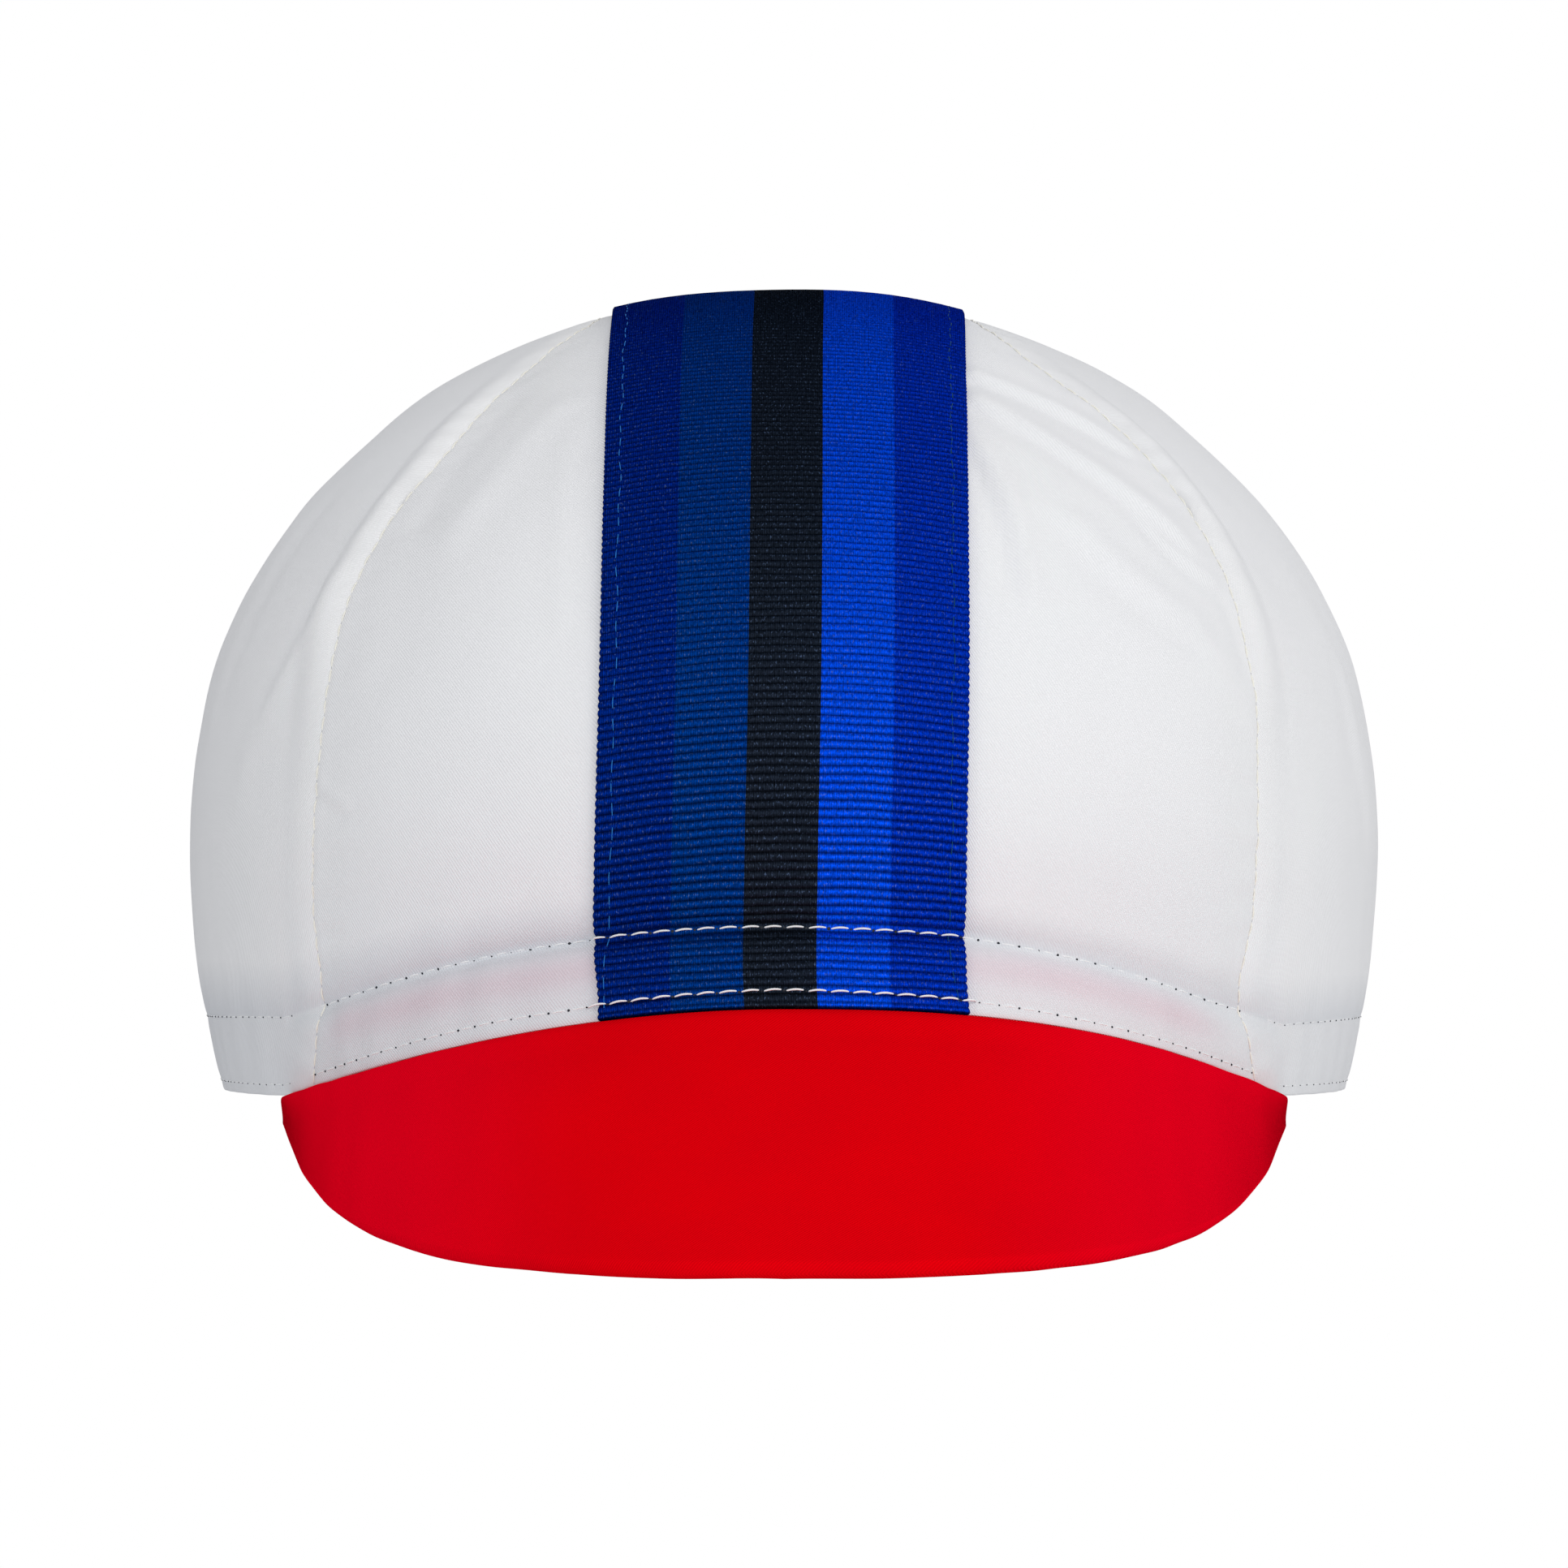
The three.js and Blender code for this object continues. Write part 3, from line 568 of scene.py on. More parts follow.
def lift(p):
    """How far the cloth stands out from the plain crown: the sum of the hem's form, the folds, the gathers,
    the puckers, the seams' draw, and the small unevenness of sewn cloth, which is calm under the ribbon."""
    height = p[..., 2] - hem_height(p)
    share = front_share(p)
    angle = angle_of(p)
    loose = smooth_step(*RIBBON_CALM, np.abs(p[..., 0] - ribbon_middle(angle)[0]))
    out = hem_form(p, height, share, loose) + crown_folds(p, loose) + back_gathers(p, height)
    out = out + row_puckers(p, height, share, loose) + seam_draw(p, angle, loose)
    return out + waver(p, UNDULATION) + waver(p, CREPE) * loose


def on_cloth(p):
    """The cloth's outer face over points of the plain crown, and the way out from it."""
    normal = normal_at(p)
    return p + normal * lift(p)[..., None], normal


ROUGH_STEPS = 260


def run_along(points):
    """The distance along each column of a grid, from its first point."""
    step = np.linalg.norm(np.diff(points, axis=1), axis=-1)
    return np.concatenate((np.zeros((len(points), 1)), np.cumsum(step, axis=1)), axis=1)


def cloth_map(points):
    """Two coordinates in millimetres along the cloth: across it from the middle column, and along it."""
    across = run_along(points.transpose(1, 0, 2)).T
    return np.stack([across - across[len(points) // 2], run_along(points)], -1)


def evenly_over(x_at, start, end, count, crowding=0.0):
    """Points along columns from one angle over the top to another, evenly spaced along the cloth, or
    closer together at the start: a share s of the way becomes s less the crowding times s times 1 - s."""
    rough = lerp(start, end, np.linspace(0, 1, ROUGH_STEPS))
    run = run_along(on_cloth(over_top(x_at(rough), rough))[0])
    even = np.linspace(0, 1, count)
    even = even * (1 - crowding * (1 - even))
    angle = np.stack([np.interp(even * row[-1], row, at) for row, at in zip(run, rough)])
    return over_top(x_at(angle), angle)


HEM_ROWS = np.array([0, 0.12, 0.3, 0.55, 0.9, 1.4, 1.9, 2.4, 2.9, 3.5, 4.3, 5.2, 6.2, 7.2, 8.1, 8.8, 9.4,
                     9.9, 10.4, 10.9, 11.4, 12.0, 12.8, 13.8, 15, 16.4, 18])
TOP_ROWS = 260
FRONT_CROWDING = 0.75


def columns_over(x_at):
    """Columns from the front hem over the top to the back hem, close together near the stitches."""
    ahead = above_hem(x_at, HEM_ROWS[None, :], False)
    behind = above_hem(x_at, HEM_ROWS[None, ::-1], True)
    start, end = angle_of(ahead[:, -1:]), angle_of(behind[:, :1])
    top = evenly_over(x_at, start, end, TOP_ROWS, FRONT_CROWDING)
    return np.concatenate((ahead, top[:, 1:-1], behind), axis=1)


EDGE_GAP = 0.03
STRIP_COLUMNS = 44
STRIP_POWER = 1.6
UNDER_COLUMNS = 12


def centre_x():
    """The columns' x at an angle: strips from the left seam to the ribbon, under it, and to the right
    seam, with the columns crowded toward the seams."""
    strip = np.linspace(0, 1, STRIP_COLUMNS + 1)[:-1] ** STRIP_POWER
    under = np.linspace(0, 1, UNDER_COLUMNS + 1)
    share = np.concatenate((strip, 1 + under, 3 - strip[::-1]))[:, None]

    def x_at(angle):
        left = EDGE_GAP - seam_left(angle)[0]
        right = seam_right(angle)[0] - EDGE_GAP
        middle = ribbon_middle(angle)[0]
        low, high = middle - RIBBON_WIDTH / 2, middle + RIBBON_WIDTH / 2
        beside = np.where(share < 1, lerp(left, low, share), lerp(high, right, share - 2))
        return np.where((share >= 1) & (share <= 2), lerp(low, high, share - 1), beside)

    return x_at


def wall_faces(columns, rows):
    """Four-sided faces of a closed wall between two matching grids of points, outer and inner: first its
    two faces and the strips along its lower and upper edges, then the strips at its two ends."""
    outer = np.arange(columns * rows).reshape(columns, rows)
    inner = outer + columns * rows

    def between(a, b):
        return np.stack([a[:-1], b[:-1], b[1:], a[1:]], -1).reshape(-1, 4)

    def face(grid):
        return np.stack([grid[:-1, :-1], grid[1:, :-1], grid[1:, 1:], grid[:-1, 1:]], -1).reshape(-1, 4)

    sides = [face(outer), face(inner)[:, ::-1]]
    sides += [between(outer[:, 0], inner[:, 0]), between(inner[:, -1], outer[:, -1])]
    return sides, [between(inner[0], outer[0]), between(outer[-1], inner[-1])]


def new_mesh(name, points, faces, material, cloth=None, fields=(), joined=None):
    """A smooth mesh of four-sided faces that point outwards, with a cloth map and named fields. The faces
    are turned if the volume inside them, the sum of their triple products, is below zero. The cloth map
    goes by the numbers in the faces. If joined is given, it turns them into the numbers of the points."""
    corners = faces if joined is None else joined[faces]
    a, b, c, d = (points[corners[:, k]] for k in range(4))
    volume = (a * np.cross(b, c)).sum() + (a * np.cross(c, d)).sum()
    if volume < 0:
        faces, corners = faces[:, ::-1], corners[:, ::-1]
    mesh = bpy.data.meshes.new(name)
    mesh.vertices.add(len(points))
    mesh.vertices.foreach_set("co", (points * MM).astype(np.float32).ravel())
    mesh.loops.add(faces.size)
    mesh.loops.foreach_set("vertex_index", corners.astype(np.int32).ravel())
    mesh.polygons.add(len(faces))
    mesh.polygons.foreach_set("loop_start", np.arange(0, faces.size, 4, dtype=np.int32))
    mesh.update(calc_edges=True)
    mesh.shade_smooth()
    if cloth is not None:
        layer = mesh.uv_layers.new(name="cloth")
        layer.data.foreach_set("uv", cloth[faces.ravel()].astype(np.float32).ravel())
    for field, values in dict(fields).items():
        layer = mesh.attributes.new(field, "FLOAT", "POINT")
        layer.data.foreach_set("value", values.astype(np.float32).ravel())
    mesh.materials.append(material)
    piece = bpy.data.objects.new(name, mesh)
    bpy.context.scene.collection.objects.link(piece)
    return piece


SHARP_EDGE = math.radians(50)


def cloth_wall(name, outer, inner, material, fields=()):
    """A length of cloth with its two faces given as grids of points."""
    columns, rows = outer.shape[:2]
    sides, ends = wall_faces(columns, rows)
    points = np.concatenate((outer.reshape(-1, 3), inner.reshape(-1, 3)))
    cloth = np.tile(cloth_map(outer).reshape(-1, 2), (2, 1))
    both = {field: np.tile(values.ravel(), 2) for field, values in dict(fields).items()}
    piece = new_mesh(name, points, np.concatenate(sides + ends), material, cloth, both)
    piece.data.set_sharp_from_angle(angle=SHARP_EDGE)
    return piece


# White cotton twill: fine slanting ribs, a matte face with a faint bloom, hardly uneven in tone. Fields say
# where the red cloth behind shows through, and where painted shade greys it at the hem: a shadow under the
# bulge over the upper row, with a little of the layers behind showing through. They also say where the seam
# allowance's two layers make it whiter together with a painted highlight, and where a painted cool tint low
# in front cancels the red light that the peak throws up.
WHITE = (0.835, 0.836, 0.853, 1)
SHOW_THROUGH = (0.79, 0.575, 0.635, 1)
# Painted shade at the hem: the white is multiplied by this colour there
PAINTED_HEM_SHADE = (0.74, 0.76, 0.795, 1)
# The allowance's two layers are whiter, and this white also carries a painted highlight on the raised band
DOUBLED_HIGHLIGHT = (0.905, 0.903, 0.91, 1)
# A painted cool tint low in front, which cancels the red light that the peak throws up onto the white
PAINTED_COOL_TINT = (0.965, 0.987, 1.0, 1)
TWILL_PITCH = 0.36
WHITE_SLANT = math.radians(35)
TWILL_RELIEF = 0.024 * MM
FIBRE_SIZE = 0.3
WRINKLE_SIZE = 5.0
WRINKLE_RELIEF = 0.07 * MM
FIBRE_SHARE = 1.1
MOTTLE_SIZE = 26.0
MOTTLE_DEPTH = 0.03
RIB_DEPTH = 0.03
CLOTH_SHEEN = 0.004
TWILL_ROUGHNESS = 0.95
SHEEN_ROUGHNESS = 0.6


def twill_relief(tree, cloth, slant, relief):
    """The ribs, a sine across a slanting direction, and a normal bumped by them, the fibres and small
    wrinkles, which are noise of two sizes."""
    parts = add_node(tree, "ShaderNodeSeparateXYZ", {"Vector": cloth})
    number = 2 * math.pi / TWILL_PITCH
    phase = math_node(tree, "MULTIPLY", parts.outputs["X"], number * math.cos(slant))
    phase = math_node(tree, "MULTIPLY_ADD", parts.outputs["Y"], number * math.sin(slant), phase)
    rib = math_node(tree, "SINE", phase)
    fibre = add_node(tree, "ShaderNodeTexNoise", {"Vector": cloth, "Scale": 1 / FIBRE_SIZE, "Detail": 2.0})
    height = math_node(tree, "MULTIPLY_ADD", fibre.outputs["Fac"], FIBRE_SHARE, rib)
    wrinkle = add_node(tree, "ShaderNodeTexNoise", {
        "Vector": cloth, "Scale": 1 / WRINKLE_SIZE, "Detail": 3.0})
    broad = add_node(tree, "ShaderNodeBump", {
        "Height": wrinkle.outputs["Fac"], "Distance": WRINKLE_RELIEF, "Strength": 1.0})
    return rib, add_node(tree, "ShaderNodeBump", {
        "Height": height, "Distance": relief, "Strength": 1.0, "Normal": broad.outputs["Normal"]})


def white_twill():
    """White times a mottle and the ribs' tone. Each field mixes its colour in, or multiplies by it."""
    material, tree = new_material("white_twill")
    cloth = add_node(tree, "ShaderNodeUVMap", uv_map="cloth").outputs["UV"]
    rib, normal = twill_relief(tree, cloth, WHITE_SLANT, TWILL_RELIEF)
    mottle = add_node(tree, "ShaderNodeTexNoise", {
        "Vector": cloth, "Scale": 1 / MOTTLE_SIZE, "Detail": 2.0})
    tone = math_node(tree, "MULTIPLY_ADD", mottle.outputs["Fac"], MOTTLE_DEPTH, 1 - MOTTLE_DEPTH / 2)
    tone = math_node(tree, "MULTIPLY_ADD", rib, RIB_DEPTH, tone)
    tint = WHITE
    # The fields mix in the red show-through, painted shade at the hem, the whiter allowance with its
    # painted highlight, and a painted cool tint low in front
    for field, colour, blend in (("show_through", SHOW_THROUGH, "MIX"), ("hem_painted_shade", PAINTED_HEM_SHADE, "MULTIPLY"),
                                 ("doubled_and_highlit", DOUBLED_HIGHLIGHT, "MIX"), ("low_front", PAINTED_COOL_TINT, "MULTIPLY")):
        share = add_node(tree, "ShaderNodeAttribute", attribute_name=field).outputs["Fac"]
        tint = add_node(tree, "ShaderNodeMix", {
            0: share, 6: tint, 7: colour}, data_type="RGBA", blend_type=blend).outputs[2]
    return finish_twill(material, tree, tint, tone, normal, CLOTH_SHEEN)


def finish_twill(material, tree, tint, tone, normal, sheen):
    """The matte cotton shader: the tint times its tone, with its relief and a faint bloom."""
    colour = add_node(tree, "ShaderNodeHueSaturation", {"Color": tint, "Value": tone})
    finish_material(tree, add_node(tree, "ShaderNodeBsdfPrincipled", {
        "Base Color": colour.outputs["Color"], "Normal": normal.outputs["Normal"],
        "Roughness": TWILL_ROUGHNESS, "Specular IOR Level": 0.0, "Sheen Weight": sheen,
        "Sheen Roughness": SHEEN_ROUGHNESS}))
    return material


CENTRE_GROOVE = {"depth": 0.12, "reach": 0.6}
HEM_ROLL = 0.35
THROUGH_HEIGHT = {"left": 7.2, "right": (6.5, 5.3), "from": (30, 58), "reach": 2.7}
THROUGH_LEFT = (63, 57.5)
THROUGH_RIGHT = (62, 50)
THROUGH_ROW = (0.2, -1.2)
THROUGH_PATCH = {"mean": 0.52, "waver": {"strength": 0.08, "size": 16, "seed": 31}}
# Where the painted cool tint is strongest above the hem, and its reach
LOW_FRONT = {"height": 15, "reach": 13}
# The hem's painted shade: its depth just above the upper row and below it, on the left and on the right,
# and how far above the row it reaches there. It is stronger on the left, away from the key light.
HEM_SHADE = {"row": (0.8, 0.6), "below": (0.5, 0.3), "reach": (5.6, 4.4), "wider": 1.6, "power": 0.85,
             "turn": (-10, 10)}


def hem_roll(height, radius):
    """How far the cloth draws in near its lower edge to turn under: a quarter round of a radius."""
    short = np.clip(radius - height, 0, radius)
    return radius - np.sqrt(radius**2 - short**2)


def show_through(p):
    """Where the red tail of the peak lies behind the thin white cloth: a bell of height between the two
    rows of stitches, which fades out at its ends and at the upper row."""
    height = p[..., 2] - hem_height(p)
    x = p[..., 0]
    side = np.where(x < 0, smooth_step(*THROUGH_LEFT, -x), smooth_step(*THROUGH_RIGHT, x))
    middle = lerp(*THROUGH_HEIGHT["right"], smooth_step(*THROUGH_HEIGHT["from"], x))
    middle = np.where(x < 0, THROUGH_HEIGHT["left"], middle)
    below_row = smooth_step(*THROUGH_ROW, height - row_height("upper", p))
    patch = THROUGH_PATCH["mean"] + waver(p, THROUGH_PATCH["waver"])
    share = bump(height, middle, THROUGH_HEIGHT["reach"]) * side * below_row * patch
    return np.where(p[..., 1] < 0, share, 0)


def hem_painted_shade(p):
    """How deep the painted shade at the hem is: a shadow under the cloth that bulges over the upper row of
    stitches, with a little of the darker layers behind showing through. It is even below the row, and fades
    out over a few millimetres above it."""
    above = p[..., 2] - hem_height(p) - row_height("upper", p)
    right = smooth_step(*HEM_SHADE["turn"], p[..., 0])
    reach = lerp(*HEM_SHADE["reach"], right) + HEM_SHADE["wider"] * (1 - front_share(p))
    fading = np.maximum(0, 1 - np.maximum(0, above) / reach) ** HEM_SHADE["power"]
    return np.where(above > 0, lerp(*HEM_SHADE["row"], right) * fading, lerp(*HEM_SHADE["below"], right))


def low_front(p):
    """Where a painted cool tint cancels the red light that the peak throws up on the white: a wide bell of
    height above the peak, in front only.
    """
    return front_share(p) ** 0.5 * bump(p[..., 2] - hem_height(p), LOW_FRONT["height"], LOW_FRONT["reach"])


def white_fields(p):
    """The fields that all the white panels share."""
    return {"show_through": show_through(p), "hem_painted_shade": hem_painted_shade(p), "low_front": low_front(p)}


LEAST_SLANT = 0.02


def seam_distance(p, own_side):
    """How far a point lies from the seam along the cloth: the way in x over the cloth's slant."""
    angle = angle_of(p)
    seam = np.where(p[..., 0] < 0, seam_left(angle)[0], seam_right(angle)[0])
    away = (np.abs(p[..., 0]) - seam) * own_side
    slant = np.sqrt(np.maximum(LEAST_SLANT, 1 - normal_at(p)[..., 0] ** 2))
    return np.maximum(0, away) / slant


white = white_twill()
centre = columns_over(centre_x())
face, outward = on_cloth(centre)
groove = CENTRE_GROOVE["depth"] * bump(seam_distance(centre, -1), 0, CENTRE_GROOVE["reach"])
relief = -groove - hem_roll(centre[..., 2] - hem_height(centre), HEM_ROLL)
center_panel = cloth_wall("centre_panel_cloth", face + outward * relief[..., None], face - outward * CLOTH,
                          white, white_fields(centre))
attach(center_panel, "root")
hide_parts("center_panel")

# The side panels: the same twill, one on each side, sewn to the centre panel by the long seams. The seam
# allowance is pressed to their side, where it shows as a raised band beside the seam.
SHOULDER = 45
SIDE_COLUMNS = 210
SIDE_ROWS = 112
SIDE_CROWDING = 0.6
SIDE_POWER = 1.3
SIDE_GROOVE = {"depth": 0.08, "reach": 0.5}
ALLOWANCE = {"low": 0.34, "high": 1.45, "top": 0.05, "climb": (42, 72), "over": (88, 106), "ramp": 1.9,
             "edge": (2.2, 8.6)}
# How much whiter the cloth over the allowance is, low and high on each side, and where it fades out beside
# the seam. Part of it is a painted highlight on the raised band, stronger on the left, where the band faces
# the key light.
DOUBLED_HIGHLIGHT_SHARE = {"side_panel_left": (0.2, 0.62), "side_panel_right": (0.16, 0.3)}
DOUBLED_HIGHLIGHT_FADE = (6.4, 1.4)
SIDE_THROUGH = 0.35


def turn_of(p):
    """The turn round the crown from straight ahead, evened out over its squarish section."""
    side, depth, _, _ = section_at(p[..., 2], p[..., 1] < 0)
    return np.arctan2(np.abs(p[..., 0]) / side, -p[..., 1] / depth)


def around_hem(turn, height_of):
    """The crown's points at turns from straight ahead, positive to the right, at heights above the hem
    that a function of the points gives."""
    turn = np.asarray(turn, float)
    across, along = np.sin(turn), np.cos(turn)
    scale = (np.abs(across) ** SQUARENESS + np.abs(along) ** SQUARENESS) ** (-1 / SQUARENESS)
    p = np.stack([across, -along, 0 * turn], -1)
    for _ in range(SETTLE_STEPS):
        z = height_of(p) + hem_height(p)
        side, depth, _, _ = section_at(z, along > 0)
        p = np.stack([side * scale * across, -depth * scale * along, z], -1)
    return p


def side_grid(sign):
    """A side panel's points. Its lower rows go round at set heights above the hem. Above them a patch is
    spread between the lowest part, the front seam, the seam over the top and the back seam: the sum of
    the two straight spreads between opposite edges, less the spread between the corners. Its points are
    cast out from the heart. Toward the two shoulders the points crowd along the seams."""
    seam = seam_left if sign < 0 else seam_right

    def x_at(angle):
        return sign * (seam(angle)[0] + EDGE_GAP)

    across = np.linspace(0, 1, SIDE_COLUMNS)
    up = 1 - (1 - np.linspace(0, 1, SIDE_ROWS)) ** SIDE_POWER
    bottom_share = across - SIDE_CROWDING * np.sin(2 * math.pi * across) / (2 * math.pi)
    low_front = above_hem(x_at, HEM_ROWS, False)
    low_back = above_hem(x_at, HEM_ROWS, True)
    turn = lerp(turn_of(low_front)[None, :], turn_of(low_back)[None, :], bottom_share[:, None])
    lower = around_hem(sign * turn, lambda p: HEM_ROWS[None, :])
    lower[0], lower[-1] = low_front, low_back

    def along_seam(start, end, share):
        angles = np.linspace(start, end, ROUGH_STEPS)
        run = run_along(over_top(x_at(angles), angles)[None])[0]
        angle = np.interp(share * run[-1], run, angles)
        return over_top(x_at(angle), angle)

    climb = np.sin(math.pi / 2 * up)
    front = along_seam(angle_of(low_front[-1]), SHOULDER, climb)
    back = along_seam(angle_of(low_back[-1]), 180 - SHOULDER, climb)
    top = along_seam(SHOULDER, 180 - SHOULDER, smooth_step(0, 1, across))
    s, u = across[:, None, None], up[None, :, None]
    patch = (1 - u) * lower[:, -1:] + u * top[:, None] + (1 - s) * front[None] + s * back[None]
    patch = patch - (1 - u) * ((1 - s) * front[0] + s * back[0]) - u * ((1 - s) * top[0] + s * top[-1])
    upper = cast_out(HEART, patch - HEART)
    upper[0], upper[-1], upper[:, -1] = front, back, top
    return np.concatenate((lower, upper[:, 1:]), axis=1)


def side_panel(name, sign):
    """One side panel. Beside the seam it stands out by the height of the allowance there, times 1 less e
    to the power of minus the way over the ramp, times a step down at the allowance's edge."""
    grid = side_grid(sign)
    cloth_face, way_out = on_cloth(grid)
    away = seam_distance(grid, 1)
    allowance = (1 - np.exp(-away / ALLOWANCE["ramp"])) * smooth_step(*ALLOWANCE["edge"][::-1], away)
    stand = lerp(ALLOWANCE["low"], ALLOWANCE["high"], smooth_step(*ALLOWANCE["climb"], grid[..., 2]))
    stand = lerp(stand, ALLOWANCE["top"], smooth_step(*ALLOWANCE["over"], grid[..., 2]))
    rise = stand * allowance - SIDE_GROOVE["depth"] * bump(away, 0, SIDE_GROOVE["reach"])
    rise = rise - hem_roll(grid[..., 2] - hem_height(grid), HEM_ROLL)
    # Whiter over the allowance: partly its two layers, partly a painted highlight on the raised band,
    # stronger on the left
    share = lerp(*DOUBLED_HIGHLIGHT_SHARE[name], smooth_step(*ALLOWANCE["climb"], grid[..., 2]))
    fields = {**white_fields(grid), "doubled_and_highlit": share * smooth_step(*DOUBLED_HIGHLIGHT_FADE, away)}
    fields["show_through"] = SIDE_THROUGH * fields["show_through"]
    outer, inner = cloth_face + way_out * rise[..., None], cloth_face - way_out * CLOTH
    panel = cloth_wall(f"{name}_cloth", outer, inner, white, fields)
    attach(panel, "root")
    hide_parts(name)
    return panel


side_panels = [side_panel("side_panel_left", -1), side_panel("side_panel_right", 1)]

# The ribbon: grosgrain 48 mm wide with five woven stripes and cross ribs, laid over the centre panel from
# the front hem to the back hem and sewn down by a fine row of blue stitches along each edge.
GAP = 0.3
RIBBON_THICKNESS = 0.8
RIB_PITCH = 1.13
RIB_STEPS = 5
RIB_HEIGHT = 0.2
SCALLOP = 0.16
RIBBON_COLUMNS = 25
RIBBON_EDGE = 0.6
EDGE_THINNER = 0.35
RIBBON_ROLL = 1.1
INNER_ROLL_SHARE = 0.6
TUCK_ANGLES = (-6, -12.5)
TUCK_LEFT = 1.5
TUCK_RIGHT = 0.8
STRIPES = table("red green blue", [
    [0.0002, 0.0225, 0.245],
    [0.0, 0.040, 0.252],
    [0.0128, 0.0185, 0.031],
    [0.0010, 0.074, 0.78],
    [0.0004, 0.035, 0.500],
])
RIBBON_GLOSS = 0.95
RIBBON_GRAZE = (0.15, 0.15, 0.15, 1)
RIBBON_ROUGHNESS = 0.55
# How dark the painted shade in the ribs' grooves is, against their lit tops
RIB_SHADE = 0.35
THREAD_TONE = {"size": 0.6, "squeeze": 2.2, "slope": 2.4, "start": -0.2, "relief": 1.2}
WARP_PITCH = 0.3
WARP_SHADE = 0.14
WARP_RELIEF = 0.03 * MM
FLECK = (0.13, 0.20, 0.36, 1)
FLECKS = {"size": 0.5, "from": 0.6, "full": 0.74, "most": 0.5}
# Painted shade over the top of the ribbon, where the ribs turn away from the lamps: its share, the angle of
# its middle and its reach
TOP_PAINTED_SHADE = {"share": 0.5, "angle": 80, "reach": 23}
RIB_WANDER = {"strength": 0.07, "size": 9, "seed": 61}
RIB_CALM = 3


def ribbon_x(angle):
    """The ribbon's columns at an angle, the outermost ones close together, and all drawn in below the
    upper stitches, where the flare of the hem would spread them."""
    half = RIBBON_WIDTH / 2
    tuck = smooth_step(*TUCK_ANGLES, angle)
    even = np.linspace(-half + RIBBON_EDGE, half - RIBBON_EDGE, RIBBON_COLUMNS - 4)
    side = np.array([half, half - RIBBON_EDGE / 3])
    offset = np.concatenate((-side, even, side[::-1]))[:, None]
    drawn_in = tuck * np.where(offset < 0, TUCK_LEFT, TUCK_RIGHT) / half
    return ribbon_middle(angle)[0] + offset * (1 - drawn_in)


def ribbon_grid():
    """Columns from the front hem to the back hem with the same number of even steps, some to each rib.
    The ribs wander by a soft noise in degrees, which is calm near the two hems."""
    start = angle_of(above_hem(ribbon_x, np.zeros((1, 1)), False))
    end = angle_of(above_hem(ribbon_x, np.zeros((1, 1)), True))
    length = run_along(on_cloth(evenly_over(ribbon_x, start, end, ROUGH_STEPS))[0])[:, -1].mean()
    ribs = round(length / RIB_PITCH)
    points = evenly_over(ribbon_x, start, end, ribs * RIB_STEPS + 1)
    angle = angle_of(points)
    calm = smooth_step(start, start + RIB_CALM, angle) * smooth_step(end, end - RIB_CALM, angle)
    angle = angle + waver(points, RIB_WANDER) * calm
    return over_top(ribbon_x(angle), angle)


